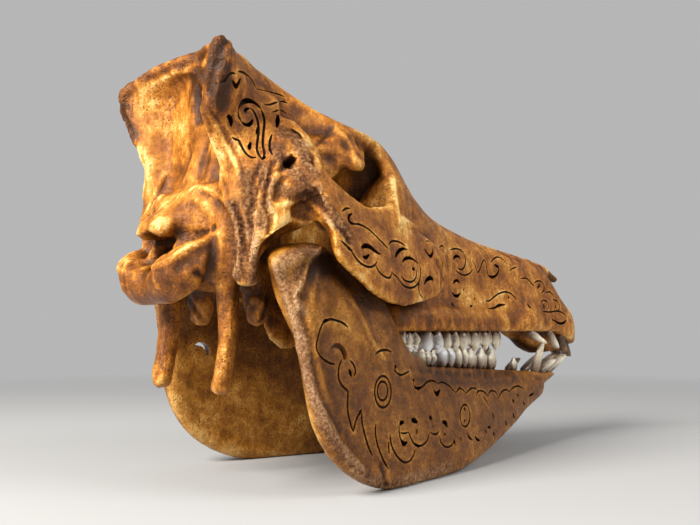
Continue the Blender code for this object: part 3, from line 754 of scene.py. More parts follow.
TEMPLE_PLUGS = [
    [[(238.3, 110), (239.5, 106), (242, 102.6), (247, 100.6), (252, 101.4), (257, 104.6), (261, 109)],
     [0.3, 0.7, 1.1, 1.2, 1.1, 0.8, 0.4], 3],
    [[(241.5, 121.3), (244.5, 124), (248, 125), (251, 122.8), (252.6, 119.5)], [0.3, 0.75, 0.95, 0.9, 0.4], 3.5],
    [[(227, 115.6), (229.6, 117.5), (231, 121.5), (231, 126.4)], [0.7, 1.2, 1.1, 0.4], 3],
    [[(232.6, 80.5), (234.4, 84.3), (236.4, 86.4), (238.8, 83), (240.6, 78)], [0.5, 1.0, 1.2, 1.0, 0.5], 3],
    [[(278, 114.6), (277.8, 119.5), (277.4, 124), (276.8, 127.6)], [0.5, 1.0, 0.9, 0.4], 4],
    [[(250.9, 142), (249.7, 145.6), (249.2, 150)], [0.4, 0.95, 0.4], 3.5],
    [[(244.6, 112), (246, 109.2), (249.6, 108)], [0.8, 0.7, 0.4], 2.5],
    [[(261.4, 159.8), (263.4, 158), (266, 156)], [0.3, 0.8, 0.3], 2.5],
    [[(257.4, 127), (257, 131), (256.2, 134.4)], [0.3, 0.6, 0.3], 1.5],
]

# %% Strokes of the cheek arch
ARCH_LINES = [
    [(342, 211.6), (344, 209.6), (347.5, 208), (350.5, 208.6)],
    [(353, 223.8), (360, 224.4), (366, 227.4), (371, 231), (376, 236), (381, 241), (385, 245), (389, 250)],
    [(341, 240.4), (347, 246), (351.5, 250.4), (354, 255), (358, 260.5), (363, 264.6), (369, 267),
     (374, 265.6), (377.6, 261.4)],
    [(375.5, 263.5), (377, 268), (380, 272.6), (384, 276), (388.6, 278), (391, 276), (392, 271)],
    [(392, 272.5), (397, 277), (400, 281), (404, 285.6), (409, 287.8), (414, 287), (418, 283.6), (420.4, 277),
     (420.6, 269), (419.4, 265)],
    [(400.6, 274.5), (404, 279.6), (409, 281.8), (413, 281.2), (415.6, 278), (416.8, 272.6), (415.6, 267)],
    [(388.6, 245), (391, 241.6), (396, 241), (401, 242.8), (406, 246)],
    [(425.4, 241.4), (429, 240.8), (432.5, 244.6)],
    [(419.6, 281), (418.8, 288), (420, 294), (423, 298.4)],
]
ARCH_PLUGS = [
    [[(352, 213.4), (349.2, 216), (348.8, 219.5), (351, 222.6), (355, 224)], [0.4, 0.8, 0.9, 0.8, 0.4], 4],
    [[(361.4, 247.8), (365.4, 245.8), (369.6, 246.6), (374, 250), (378, 252.8), (380.8, 254.2)],
     [0.6, 1.15, 1.15, 1.1, 0.8, 0.3], 5],
    [[(362.8, 256.2), (366, 257.6), (369.6, 254.4)], [0.5, 0.95, 0.5], 4],
    [[(402.4, 262.4), (404.6, 259), (408.6, 257.8), (413, 259.2), (418, 263.4)], [0.4, 0.85, 0.85, 0.6, 0.3], 4],
    [[(412, 268.8), (413.6, 269), (415.2, 269.2)], [0.6, 0.95, 0.6], 4],
    [[(395.4, 257.4), (397, 253.5), (400, 250), (404, 248.6), (407.4, 249.8)], [0.5, 0.95, 0.95, 0.7, 0.3], 5],
    [[(424.6, 249), (427.4, 253.4), (430.6, 256.4), (432.9, 252.5), (432.4, 249)], [0.7, 0.6, 0.95, 0.7, 0.3], 5],
    [[(423.8, 284.6), (426.6, 280), (430, 277.8), (432.8, 279.2), (433, 282.6)], [0.3, 0.8, 1.2, 0.9, 0.3], 5],
    [[(346.4, 245.8), (349.2, 248.4), (352.4, 250.8)], [0.4, 0.85, 0.4], 2.5],
]

# %% Strokes of the snout
def circle(centre, wide, high, parts=16):
    """A closed ring of pixels."""
    turns = [math.tau * (i % parts) / parts for i in range(parts + 1)]
    return [(centre[0] + wide * math.cos(a), centre[1] + high * math.sin(a)) for a in turns]


SNOUT_LINES = [
    [(450, 250), (455, 248.6), (460, 249.6), (463.6, 253), (465.6, 258.6), (465.4, 264), (463.8, 268),
     (461.4, 269.6), (458.6, 268.6), (456.6, 265)],
    [(455.6, 270), (459, 273), (463.4, 275), (467.4, 274.6), (470.6, 272.4), (472.8, 269.4)],
    [(472, 259.4), (474.4, 263.4), (476, 268), (477.6, 272.4), (479.6, 270.2), (481, 266), (482.8, 261.6),
     (484.4, 259.8), (485.8, 262.6), (486.6, 267), (487.4, 272), (488.4, 276)],
    [(490.4, 262.8), (493.4, 259), (497.6, 257), (502, 258.6), (505.6, 262), (508.4, 266)],
    [(476, 245.4), (481, 248.2), (485.4, 252), (488, 256.6), (490, 260.4)],
    [(509.6, 270.8), (513, 268.2), (517.6, 266.6)],
    [(520.6, 278.6), (525.6, 278), (529.4, 280.6), (532.6, 284.4), (535, 285.6)],
    [(533.8, 283.4), (537, 281), (541, 281.4), (544, 285), (544, 290), (541, 293)],
    [(545.6, 293), (549.4, 291.6), (552.4, 294.2), (554.4, 298)],
    [(540.4, 302.4), (543.6, 300.2), (547.2, 302), (548.4, 306.6), (546.4, 311)],
    [(552.6, 299.8), (556.6, 300.6), (559.4, 304.6), (559.2, 309.4), (556, 311.4)],
    [(542.6, 311.4), (550, 312), (557, 311), (563, 313), (566.6, 317), (567, 320.6)],
    [(485.4, 301.2), (490, 300.4), (494, 297), (499, 293.6), (505, 291.8), (510, 293), (514, 296.4), (517.4, 299.6)],
    [(439, 248.4), (441.6, 245.4), (443.6, 246.8), (445.4, 249.6)],
    [(530, 307), (533.4, 310), (536, 315), (536.6, 319)],
]
SNOUT_PLUGS = [
    [[(453.2, 260), (454.6, 257), (457, 256), (459.4, 257.2), (460.6, 260)], [0.3, 0.8, 0.85, 0.8, 0.3], 4],
    [[(494.4, 264.8), (496.8, 266), (499.2, 267.4)], [0.6, 1.2, 0.6], 4],
    [[(498.8, 268.4), (497.8, 273), (494.8, 276.4), (491, 277), (488.2, 275.2)], [0.5, 0.7, 0.8, 0.95, 0.4], 3.5],
    [[(527.6, 303.4), (529, 306), (531.6, 308)], [0.7, 1.3, 0.5], 4],
    [[(543.8, 304.2), (544, 308.4)], [0.5, 0.95, 0.5], 4],
    [[(555.2, 304.6), (555.6, 308.6)], [0.4, 0.85, 0.4], 4],
    [[(539.2, 283.2), (539.4, 285.8), (537.6, 288)], [0.5, 0.9, 0.6], 4],
    [[(452.8, 284), (455.4, 280.6), (458.4, 281), (460.2, 283.8)], [0.3, 0.8, 0.8, 0.3], 4],
    [[(452.2, 292), (454.4, 295.4), (457.6, 296), (460.6, 293)], [0.5, 0.9, 0.9, 0.4], 4],
    [[(442.8, 261.6), (442.6, 265), (443.8, 268)], [0.6, 0.9, 0.4], 4],
    [[(443.2, 277.4), (444, 282.6)], [0.4, 0.7, 0.4], 3],
    [[(451.6, 302.4), (453.8, 306.4)], [0.6, 1.0, 0.5], 4],
    [[(508, 296.6), (509.6, 298.4)], [0.6, 0.9, 0.6], 3],
    [[(488.4, 308.6), (494, 308), (499, 305.4), (505.4, 304.4)], [0.3, 0.6, 0.9, 0.4], 2.5],
    [[(551.8, 319.4), (555, 321), (559, 323.2), (563.4, 323), (567, 320)], [0.4, 0.6, 0.8, 0.9, 0.4], 3],
    [[(474.2, 297.6), (475, 300.6)], [0.5, 0.75, 0.4], 3],
    [[(469.8, 306.4), (472.4, 305.6)], [0.4, 0.7, 0.4], 3],
    [[(463.2, 288.4), (464.2, 290.8)], [0.4, 0.7, 0.4], 3],
    [[(496.6, 250.2), (499.8, 251.4)], [0.6, 0.9, 0.6], 2.5],
    [[(509.8, 254.6), (513.2, 255.8)], [0.6, 0.9, 0.6], 2.5],
    [[(522.4, 257.8), (525.6, 259)], [0.5, 0.8, 0.5], 2.5],
]

# %% Strokes of the lower jaw
JAW_LINES = [
    [(348.4, 327.4), (343, 323), (337, 320.6), (331, 319.2), (326, 320.6), (322.6, 324), (320, 330),
     (318, 337), (316.6, 345), (318, 352), (321, 357), (326, 361), (331, 363.6), (335, 364)],
    [(342.4, 359), (340, 364), (338.6, 370), (338.6, 377), (340.6, 383), (344, 387.6), (347.6, 391),
     (348, 396), (347.6, 404), (348, 412), (349.6, 420), (351.6, 427), (353.4, 432)],
    [(349.6, 359.6), (353.6, 364.6), (355.6, 371), (354, 376.4)],
    circle((383, 391.8), 8.2, 15.8),
    circle((382.6, 391), 5, 9.6),
    [(375, 355), (378, 352), (382, 350.2), (387, 350), (391.6, 351.8)],
    [(395.4, 366), (394.8, 369.8), (397.6, 373.6), (401.4, 375), (405.4, 373.4), (409.6, 371)],
    [(413.4, 382), (415, 387.6), (420, 388), (423.4, 385.6), (427, 382), (431.4, 380.6), (435.6, 381.6),
     (437.8, 384)],
    [(438, 384), (441, 382.2), (446, 383.6), (450.4, 387), (454, 391), (456.4, 392.6)],
    [(456.4, 392.6), (458, 389.6), (460, 388), (463, 389.8), (466.4, 393.4)],
    [(466.4, 393.4), (468.6, 390.6), (472, 388), (476, 388.8), (478, 391.2)],
    [(476.4, 396.4), (477.6, 391.8), (480.6, 390.6), (484.4, 392), (487, 395), (488.2, 398)],
    [(488.2, 397), (489.6, 391.8), (493, 390.6), (496.6, 393), (498.8, 398)],
    [(498.8, 398), (500.4, 394), (502.6, 391), (506, 389.6), (510, 391.8)],
    [(510, 391.8), (512, 388.6), (516, 386.2), (520, 386.4), (523.4, 389)],
    [(483, 396.6), (486.4, 401), (488.8, 406.6)],
    [(408.6, 431.6), (411, 438), (414, 443.4), (418.6, 446), (423.6, 444.4), (427.6, 439.6), (429.4, 433)],
    [(399.2, 425), (399.2, 431), (400.4, 438), (402.4, 442.6)],
    [(400.4, 432.6), (404, 433.4), (408.6, 432.4)],
    [(439.6, 435.6), (440.6, 441), (443.6, 445.6), (447.4, 447.2), (451.4, 445.4), (453.6, 442)],
    [(390, 434.6), (391.4, 444), (394.6, 452), (399.6, 459), (405, 462.4), (410, 460.6), (413.4, 455.6),
     (415, 449.6)],
    [(388.4, 441.4), (389, 448), (389.4, 454.4)],
    [(376, 423.6), (375.4, 430), (376, 437), (378, 446), (381, 454.6), (384.4, 462), (388.8, 469.4)],
    [(361.6, 410.4), (358.6, 415), (356, 420.6), (354.4, 427), (353.4, 432)],
    [(361.8, 413), (362.2, 422), (363.8, 430), (366.4, 440), (369, 448), (372.4, 456)],
    circle((465, 415.6), 4.9, 11.2),
    [(430, 431.6), (433, 434), (437, 433.8), (439.6, 430.6)],
]
JAW_PLUGS = [
    [[(331.4, 348.6), (334.4, 345.8), (338.6, 346), (342.6, 349.6), (344.6, 354), (344.8, 359.6)],
     [0.4, 0.9, 1.2, 1.5, 1.4, 0.7], THROUGH],
    [[(349.4, 369), (350.4, 373), (351.8, 376.6)], [0.5, 1.0, 0.4], 4],
    [[(395.8, 364.8), (395.2, 368)], [0.6, 1.0, 0.5], 3.5],
    [[(413.2, 378.6), (414, 382)], [0.7, 1.1, 0.5], 4],
    [[(414.4, 386.6), (418, 388.6), (422.6, 386.6)], [0.4, 0.9, 0.4], 2.5],
    [[(433.6, 389.6), (436.8, 394), (440.2, 389.8)], [0.4, 1.4, 0.4], 4],
    [[(399.6, 425), (401.8, 422.4), (404.4, 422.8)], [0.6, 1.2, 0.5], 5],
    [[(401, 440), (404, 444), (407.6, 442)], [0.6, 1.3, 0.5], 5],
    [[(411.4, 420.2), (414.4, 420.4), (418, 422.4)], [0.7, 1.4, 0.6], 5],
    [[(414, 442.8), (418.4, 446), (423, 444.8)], [0.3, 0.8, 0.3], 2.5],
    [[(417.6, 428.6), (416.6, 434)], [0.3, 0.7, 0.3], 2.5],
    [[(429.2, 417), (432.2, 418.8)], [0.8, 1.2, 0.7], 4],
    [[(442.4, 421.4), (445.8, 423.4), (447.8, 427.4)], [0.8, 1.5, 0.5], 5],
    [[(444.4, 433), (445.6, 435.4)], [0.5, 0.9, 0.5], 3],
    [[(433, 425.6), (433.6, 427.6)], [0.4, 0.7, 0.4], 2],
    [[(464.8, 407.6), (464.8, 411)], [0.6, 1.0, 0.5], 2.5],
    [[(464.6, 419), (465, 422.4)], [0.4, 0.8, 0.4], 2.5],
    [[(453.8, 439.6), (455.4, 445)], [0.4, 0.9, 0.4], 2.5],
    [[(460.2, 437.4), (461.4, 441.4)], [0.3, 0.6, 0.3], 2],
    [[(467.4, 432.6), (469, 437), (472.4, 440)], [0.3, 0.9, 0.4], 2.5],
    [[(474.8, 435.6), (477, 439.2), (480, 440.6)], [0.3, 0.9, 0.4], 2.5],
    [[(485.4, 429.8), (486.6, 433.4)], [0.4, 0.8, 0.4], 2.5],
    [[(487.6, 427.4), (490.8, 427)], [0.4, 0.8, 0.3], 2],
    [[(493, 431.6), (494.4, 436)], [0.4, 0.8, 0.4], 2],
    [[(492.4, 412.6), (494.2, 418.4)], [0.5, 0.9, 0.4], 2.5],
    [[(505.4, 420.6), (507, 425.6)], [0.4, 0.9, 0.4], 2.5],
    [[(513, 413.6), (514.6, 418.6)], [0.4, 0.9, 0.4], 2.5],
    [[(523, 401.6), (525, 405)], [0.4, 0.8, 0.4], 2],
    [[(529, 396), (533.6, 393.6)], [0.4, 0.8, 0.4], 2],
    [[(512.4, 399.6), (514.4, 402.6)], [0.8, 1.1, 0.4], 3],
    [[(517, 394.4), (518.8, 396)], [0.5, 0.9, 0.5], 2.5],
    [[(322.4, 322.6), (325.4, 320.8), (329.4, 320)], [0.3, 0.9, 0.3], 2],
    [[(361.6, 409.4), (359, 414.8)], [0.3, 0.9, 0.3], 2.5],
    [[(381, 382), (383.4, 382)], [0.3, 0.6, 0.3], 2],
]

# %% [markdown]
# ## Brush strokes from the picture
# Where the photograph shows golden, browner or bare bone, and where it shows light and shade, a brush is
# drawn over it. The golden and browner brushes carry painted light and painted shade along with the
# varnish's own colour, and the shade brush is painted shade alone. A brush is its strokes, how far it
# covers fully and how far beyond that it fades out, in millimetres.

# %% Brush strokes from the picture
CRANIUM_PAINT = {
    "rough": (CRANIUM_ROUGH, 1.0, 5.0),
    "rim": (RIM_ROUGH, 2.0, 4.0),
    # golden varnish, and painted light where the lamp falls on the occiput's hollow, the brow, the cheek and the
    # arch
    "gold": ([
        [(150, 95), (152, 130), (154, 160), (150, 190)], [(168, 90), (170, 120), (168, 160)],
        [(183, 80), (182, 110), (180, 150)],
        [(280, 210), (295, 225), (310, 232)],
        [(470, 303), (500, 305)],
        [(405, 228), (402, 240)], [(169, 176), (172, 188), (170, 200)],
    ], 3.5, 10.0),
    # painted shade at the nasal tip and under the front of the upper jaw
    "dark": ([
        [(546, 274), (550, 276), (555, 280)], [(512, 340), (526, 347), (545, 351)],
    ], 1.5, 4.0),
    # browner varnish, and painted shade in the crest's cleft, under the neck joint and on the shaded sides of the
    # processes
    "brown": ([
        [(226, 46), (222, 60), (218, 76), (214, 92)], [(202, 84), (200, 98), (202, 114)],
        [(140, 286), (165, 294), (190, 286), (200, 273)], [(152, 277), (180, 272), (204, 260)],
        [(162, 310), (167, 340), (163, 385)],
        [(238, 300), (236, 330), (230, 360)], [(222, 378), (220, 392)], [(420, 324), (460, 326), (500, 328)],
        [(255, 300), (270, 310), (262, 324)], [(405, 300), (415, 312), (400, 318)],
    ], 3.0, 7.0),
}
JAW_PAINT = {
    "rough": (JAW_ROUGH, 0.5, 5.5),
    # golden varnish, and painted light on the far jaw's inner face and the ramus
    "gold": ([[(330, 300), (340, 320), (350, 345)],
              [(178, 390), (215, 425), (290, 446)], [(195, 370), (245, 395), (300, 420)],
              [(182, 405), (230, 448)], [(280, 262), (288, 270), (292, 300)]],
             3.0, 12.0),
    "rim": ([], 1.0, 1.0),
    # painted shade in the jaw's notch under the cheek arch
    "dark": ([[(312, 260), (320, 262), (327, 267)]], 1.0, 6.0),
    # painted shade in the hollow under the cheek arch, and browner varnish along the gum
    "brown": ([[(332, 264), (346, 278), (362, 296)], [(425, 372), (470, 374), (510, 374)],
               [(318, 264), (334, 270)], [(320, 274), (324, 288), (328, 300)]], 2.5, 6.0),
}

# %% [markdown]
# ## Carving and its colours
# The numbers for the finish are measured on the bone before it is carved, as a cut would read as a hollow
# of its own. Cutting gives the bone new points, so each of them then takes the numbers of the three old
# points nearest to it. What is left of the cuts' slivers is cleared away in between.

# %% Carry the numbers to the carved bone
SMALLEST_GAP = 0.05 * MM
BESIDE_REACH = 1.6
BESIDE_FADE = 0.9


def tree_of(places):
    """A tree that finds the nearest of the places."""
    tree = KDTree(len(places))
    for i, place in enumerate(places):
        tree.insert(place, i)
    tree.balance()
    return tree


def carry(bone, places, numbers):
    """Read numbers that were measured at places at the carved bone's points."""
    tree = tree_of(places)
    nearest = np.empty((len(bone.data.vertices), 3), int)
    weight = np.empty(nearest.shape)
    for i, vertex in enumerate(bone.data.vertices):
        found = tree.find_n(vertex.co, 3)
        nearest[i] = [index for _, index, _ in found]
        weight[i] = [1 / (gap + SMALLEST_GAP) for _, _, gap in found]
    weight /= weight.sum(1)[:, None]
    for name, values in numbers.items():
        paint(bone, name, (values[nearest] * weight).sum(1))


def paint_cuts(bone, surface, channels):
    """How deep each point lies in a cut, in mm, and how near it is to a channel, from 0 to 1."""
    tree = tree_of([place for run in channels for place, _ in run])
    points = [v.co for v in bone.data.vertices]
    paint(bone, "cut", [surface.find_nearest(p)[3] / MM for p in points])
    gap = np.array([tree.find(p)[2] for p in points]) / MM
    # nearness to a channel makes the colour lighter along the channels' edges: a painted highlight
    paint(bone, "beside", np.clip((BESIDE_REACH - gap) / BESIDE_FADE, 0, 1))


# %% Clear what the cuts leave behind
def clear_folds(bone):
    """Make the bone all triangles, and take out those that stick out of it with a free edge."""
    with editing(bone):
        bpy.ops.mesh.dissolve_degenerate(threshold=0.01 * MM)
        bpy.ops.mesh.quads_convert_to_tris(quad_method="BEAUTY", ngon_method="BEAUTY")
    users = Counter(key for face in bone.data.polygons for key in face.edge_keys)
    folds = [face.index for face in bone.data.polygons if any(users[key] == 1 for key in face.edge_keys)]
    with editing(bone, folds, "FACE"):
        bpy.ops.mesh.delete(type="FACE")
    with editing(bone):
        bpy.ops.mesh.delete_loose()
    print(bone.name, "folds taken out:", len(folds))


# %% Carve and paint both bones
CRISP_ANGLE = math.radians(38)
ROUNDS = {"ridge": 5, "swell": 40}
STROKES = {
    "Cranium": (TEMPLE_LINES + ARCH_LINES + SNOUT_LINES, TEMPLE_PLUGS + ARCH_PLUGS + SNOUT_PLUGS, CRANIUM_PAINT),
    "Mandible": (JAW_LINES, JAW_PLUGS, JAW_PAINT),
}
for bone in (cranium, mandible):
    lines, plugs, brushes = STROKES[bone.name]
    surface = surface_of(bone)
    places = points_of(bone)
    ways = normals_of(bone)
    edges = edges_of(bone)
    numbers = {name: relief(places, ways, edges, rounds) for name, rounds in ROUNDS.items()}
    for name, (strokes, reach, soft) in brushes.items():
        numbers[name] = brush(surface, places, ways, strokes, reach, soft)
    channels = carve(bone, lines, plugs)
    clear_folds(bone)
    bpy.ops.object.shade_smooth_by_angle(angle=CRISP_ANGLE)
    carry(bone, places, numbers)
    carry(bone, *occlusion_shade_by_bone[bone.name])
    paint_cuts(bone, surface, channels)
    print(bone.name, "triangles:", len(bone.data.polygons))

# %% [markdown]
# ## Nodes
# A material is a tree of nodes, and a few short helpers add them by hand. The grain of bone, which is
# mottled, speckled and pitted, serves both bones, so it is kept as a group and placed in each material.

# %% Nodes by hand
def add_node(tree, kind, inputs=None, **settings):
    """A node with its settings, whose inputs are values or other nodes' outputs."""
    made = tree.nodes.new(kind)
    for name, value in settings.items():
        setattr(made, name, value)
    for name, value in (inputs or {}).items():
        if isinstance(value, bpy.types.NodeSocket):
            tree.links.new(value, made.inputs[name])
        else:
            made.inputs[name].default_value = value
    return made


def colour_mix(tree, mask, below, above):
    """Colour above laid over colour below where the mask is one."""
    return add_node(tree, "ShaderNodeMix", {0: mask, 6: below, 7: above}, data_type="RGBA").outputs[2]


def ramp(tree, value, low, high, to_low=0.0, to_high=1.0):
    """A value stretched from one range to another, held at its ends."""
    return add_node(tree, "ShaderNodeMapRange", {0: value, 1: low, 2: high, 3: to_low, 4: to_high}).outputs[0]


def maths(tree, operation, a, b):
    """One sum on two values."""
    return add_node(tree, "ShaderNodeMath", {0: a, 1: b}, operation=operation).outputs[0]


def times(tree, a, b):
    return maths(tree, "MULTIPLY", a, b)


def total(tree, *terms):
    """The sum of all the terms."""
    result = terms[0]
    for term in terms[1:]:
        result = maths(tree, "ADD", result, term)
    return result


# %% Nodes for colour, noise and painted numbers
def tones(tree, value, stops):
    """A colour for each value from 0 to 1, through stops of (place, colour), the outer two first."""
    node = add_node(tree, "ShaderNodeValToRGB", {0: value})
    scale = node.color_ramp.elements
    for i, (place, colour) in enumerate(stops):
        stop = scale[i] if i < 2 else scale.new(place)
        stop.position = place
        stop.color = (*colour, 1.0)
    return node.outputs[0]


def painted(tree, name):
    """A number that was painted on the piece's points."""
    return add_node(tree, "ShaderNodeAttribute", attribute_name=name).outputs["Fac"]


def place_on(tree):
    """The place of each point on the object itself."""
    return add_node(tree, "ShaderNodeTexCoord").outputs["Object"]


def noise_at(tree, place, scale, detail=3.0, roughness=0.6):
    """Noise of a scale, in waves per metre."""
    return add_node(tree, "ShaderNodeTexNoise",
                    {"Vector": place, "Scale": scale, "Detail": detail, "Roughness": roughness}).outputs[0]


def new_material(name, roughness, coat):
    """A material with its shader's roughness and coat set."""
    material = bpy.data.materials.new(name)
    material.use_nodes = True
    shader = material.node_tree.nodes["Principled BSDF"]
    shader.inputs["Roughness"].default_value = roughness
    shader.inputs["Coat Weight"].default_value = coat
    return material, material.node_tree, shader


def add_bump(tree, shader, height, strength, distance):
    """Bumps of a height on the surface and on its coat."""
    bump = add_node(tree, "ShaderNodeBump", {"Height": height, "Strength": strength, "Distance": distance})
    for name in ("Normal", "Coat Normal"):
        tree.links.new(bump.outputs[0], shader.inputs[name])


# %% Group: the grain of bone
def grain_group():
    """Mottles, blotches, speckles, pits and streaks at a place."""
    group = bpy.data.node_groups.new("Bone grain", "ShaderNodeTree")
    group.interface.new_socket("Place", in_out="INPUT", socket_type="NodeSocketVector")
    place = group.nodes.new("NodeGroupInput").outputs["Place"]
    result = group.nodes.new("NodeGroupOutput")
    mottle = noise_at(group, place, 60.0, 4.0)
    cells = add_node(group, "ShaderNodeTexVoronoi", {"Vector": place, "Scale": 640.0}).outputs["Distance"]
    pits = times(group, ramp(group, cells, 0.14, 0.36, 1.0, 0.0), ramp(group, mottle, 0.42, 0.58))
    drawn = add_node(group, "ShaderNodeMapping", {"Vector": place, "Scale": (420.0, 420.0, 45.0)}).outputs[0]
    for label, value in (
            ("Mottle", mottle), ("Blotch", noise_at(group, place, 210.0)),
            ("Speckle", noise_at(group, place, 950.0, 4.0, 0.75)), ("Pits", pits),
            ("Streaks", noise_at(group, drawn, 1.0))):
        group.interface.new_socket(label, in_out="OUTPUT", socket_type="NodeSocketFloat")
        group.links.new(value, result.inputs[label])
    return group


grain = grain_group()
print("grain puts out:", [item.name for item in grain.interface.items_tree if item.in_out == "OUTPUT"])

# %% [markdown]
# ## Varnished bone
# One number, the tone, says how light the bone looks at each place: amber for the most part, nearly black
# down in the cuts, and golden where the varnish is thin. The tone also holds painted shade, darker in
# hollows and where the bone hides the sky, and painted light, lighter on lit faces and along the channels'
# edges. A scale of colours turns the tone into colour. Rough bone that lost its varnish has a scale of its
# own, greyer and without the gloss.

# %% What makes the tone lighter or darker
# a number of the bone, its range, and the tone that it adds at either end
# the hollow side of ridge and swell and the hidden sky make the tone darker: painted shade; ridges lighten where the
# varnish wears thin, and broad bulges lighten
TONE_RANGES = [
    ("ridge", -0.26, 0.0, -0.19, 0.0), ("ridge", 0.0, 0.34, 0.0, 0.20),
    ("swell", -2.0, 2.4, -0.12, 0.15), ("shelter", 0.1, 0.75, 0.04, -0.24),
]
# the tone that a brush, or a channel close by, adds where it is full
# golden brush: varnish and painted light; browner brush: varnish and painted shade; rim: the rim's own colour;
# channels: painted highlight on their edges
TONE_BRUSHES = {"gold": 0.22, "brown": -0.23, "rim": -0.42, "beside": 0.17}
BARE_TONES = [(0.0, (0.032, 0.013, 0.006)), (1.0, (0.66, 0.47, 0.31)), (0.30, (0.11, 0.049, 0.023)),
              (0.52, (0.26, 0.128, 0.063)), (0.74, (0.44, 0.26, 0.145))]
PIT_BROWN = (0.03, 0.012, 0.005, 1)
# the brown of the cuts, also laid as the colour of the painted shade
CUT_AND_SHADE_BROWN = (0.020, 0.008, 0.004, 1)
FIELDS = ("ridge", "swell", "shelter", "rough", "rim", "gold", "dark", "brown", "cut", "beside")


# %% Bone materials
def bone_material(name, varnish_tones, middle, mottling, streaky, bare_middle):
    """Varnished bone with its own scale of colours, and the middle tones of varnished and bare bone."""
    material, tree, shader = new_material(name, 0.4, 0.3)
    shader.inputs["Coat Roughness"].default_value = 0.12
    shader.inputs["Specular IOR Level"].default_value = 0.1
    bone = add_node(tree, "ShaderNodeGroup", {"Place": place_on(tree)}, node_tree=grain).outputs
    field = {label: painted(tree, label) for label in FIELDS}
    mottled = ramp(tree, bone["Mottle"], 0.34, 0.66, -mottling, mottling)
    speckled = ramp(tree, bone["Speckle"], 0.34, 0.66, -0.12, 0.11)
    tone = total(
        tree, middle, mottled, speckled, ramp(tree, bone["Blotch"], 0.36, 0.64, -0.10, 0.09),
        *[ramp(tree, field[label], *change) for label, *change in TONE_RANGES],
        *[times(tree, field[label], change) for label, change in TONE_BRUSHES.items()],
        times(tree, ramp(tree, bone["Streaks"], 0.42, 0.62, 0.0, -1.0), streaky))
    bald = ramp(tree, total(tree, field["rough"], speckled, mottled), 0.22, 0.95)
    # bare bone, too, is made darker in hollows and where the bone hides the sky: painted shade
    bare = total(tree, bare_middle, times(tree, speckled, 2.0), mottled,
                 ramp(tree, field["ridge"], -0.3, 0.3, -0.3, 0.24),
                 ramp(tree, field["shelter"], 0.1, 0.75, 0.05, -0.3))
    # darker in the cuts, and painted shade where the shade brush passes
    stain = maths(tree, "MAXIMUM", ramp(tree, field["cut"], 0.10, 0.42), times(tree, field["dark"], 0.8))
    colour = tones(tree, tone, varnish_tones)
    colour = colour_mix(tree, times(tree, bald, 0.72), colour, tones(tree, bare, BARE_TONES))
    colour = colour_mix(tree, times(tree, bone["Pits"], 0.5), colour, PIT_BROWN)
    gloss = total(tree, 0.40, times(tree, speckled, -0.5), times(tree, bald, 0.25), times(tree, stain, 0.3))
    coat = times(tree, ramp(tree, bald, 0.0, 1.0, 0.34, 0.08), ramp(tree, stain, 0.0, 1.0, 1.0, 0.1))
    tree.links.new(colour_mix(tree, stain, colour, CUT_AND_SHADE_BROWN), shader.inputs["Base Color"])
    tree.links.new(gloss, shader.inputs["Roughness"])
    tree.links.new(coat, shader.inputs["Coat Weight"])
    height = total(
        tree, times(tree, bone["Speckle"], ramp(tree, bald, 0.0, 1.0, 0.55, 1.3)),
        times(tree, bone["Blotch"], 0.9), times(tree, bone["Pits"], -0.35),
        times(tree, bone["Streaks"], streaky))
    add_bump(tree, shader, height, 0.8, 0.0011)
    return material


# %% Varnish the cranium and the jaw
CRANIUM_TONES = [(0.0, (0.045, 0.014, 0.002)), (1.0, (0.90, 0.58, 0.20)), (0.25, (0.100, 0.030, 0.003)),
                 (0.45, (0.22, 0.066, 0.006)), (0.62, (0.39, 0.135, 0.013)), (0.80, (0.62, 0.265, 0.038))]
JAW_TONES = [(0.0, (0.028, 0.008, 0.001)), (1.0, (0.62, 0.34, 0.09)), (0.25, (0.064, 0.019, 0.001)),
             (0.45, (0.14, 0.044, 0.003)), (0.62, (0.235, 0.082, 0.006)), (0.80, (0.40, 0.165, 0.020))]

for bone in (cranium, mandible):
    bone.data.materials.clear()
cranium.data.materials.append(bone_material("Varnished cranium", CRANIUM_TONES, 0.55, 0.17, 0.10, 0.40))
mandible.data.materials.append(bone_material("Varnished jaw", JAW_TONES, 0.50, 0.12, 0.04, 0.50))
for bone, node, slot in ((cranium, "cranium", "cranium_bone"), (mandible, "mandible", "jaw_bone")):
    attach(bone, "root")
    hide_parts(node)
    print(bone.name, "has:", [material.name for material in bone.data.materials])

# %% [markdown]
# ## Teeth
# A boar has forty-four teeth, and five shapes serve them all: a molar with two pairs of cusps, the last
# molar with three, a premolar like a blade, and the canine's and the incisor's pegs. A cheek tooth starts
# as a cube that is cut into squares, and its cusps are pushed up by hand; a peg is drawn out of a disc.
# Each shape is made once and copied to its places, the upper ones turned over.

# %% Work on a tooth
VALLEY_ROUNDS = 10


def push(piece, test, move):
    """Move the points whose place passes the test."""
    with editing(piece, [v.index for v in piece.data.vertices if test(*v.co)]):
        bpy.ops.transform.translate(value=move)


def pinch(piece, test, factors):
    """Draw the points that pass the test towards the tooth's middle."""
    with editing(piece, [v.index for v in piece.data.vertices if test(*v.co)]):
        bpy.ops.transform.resize(value=factors, center_override=(0, 0, 0))


def tooth_block(name, cuts):
    """A cube of one metre, cut into smaller squares."""
    bpy.ops.mesh.primitive_cube_add(size=1, location=(0, 0, 0))
    block = bpy.context.object
    block.name = name
    with editing(block):
        bpy.ops.mesh.subdivide(number_cuts=cuts)
    return block


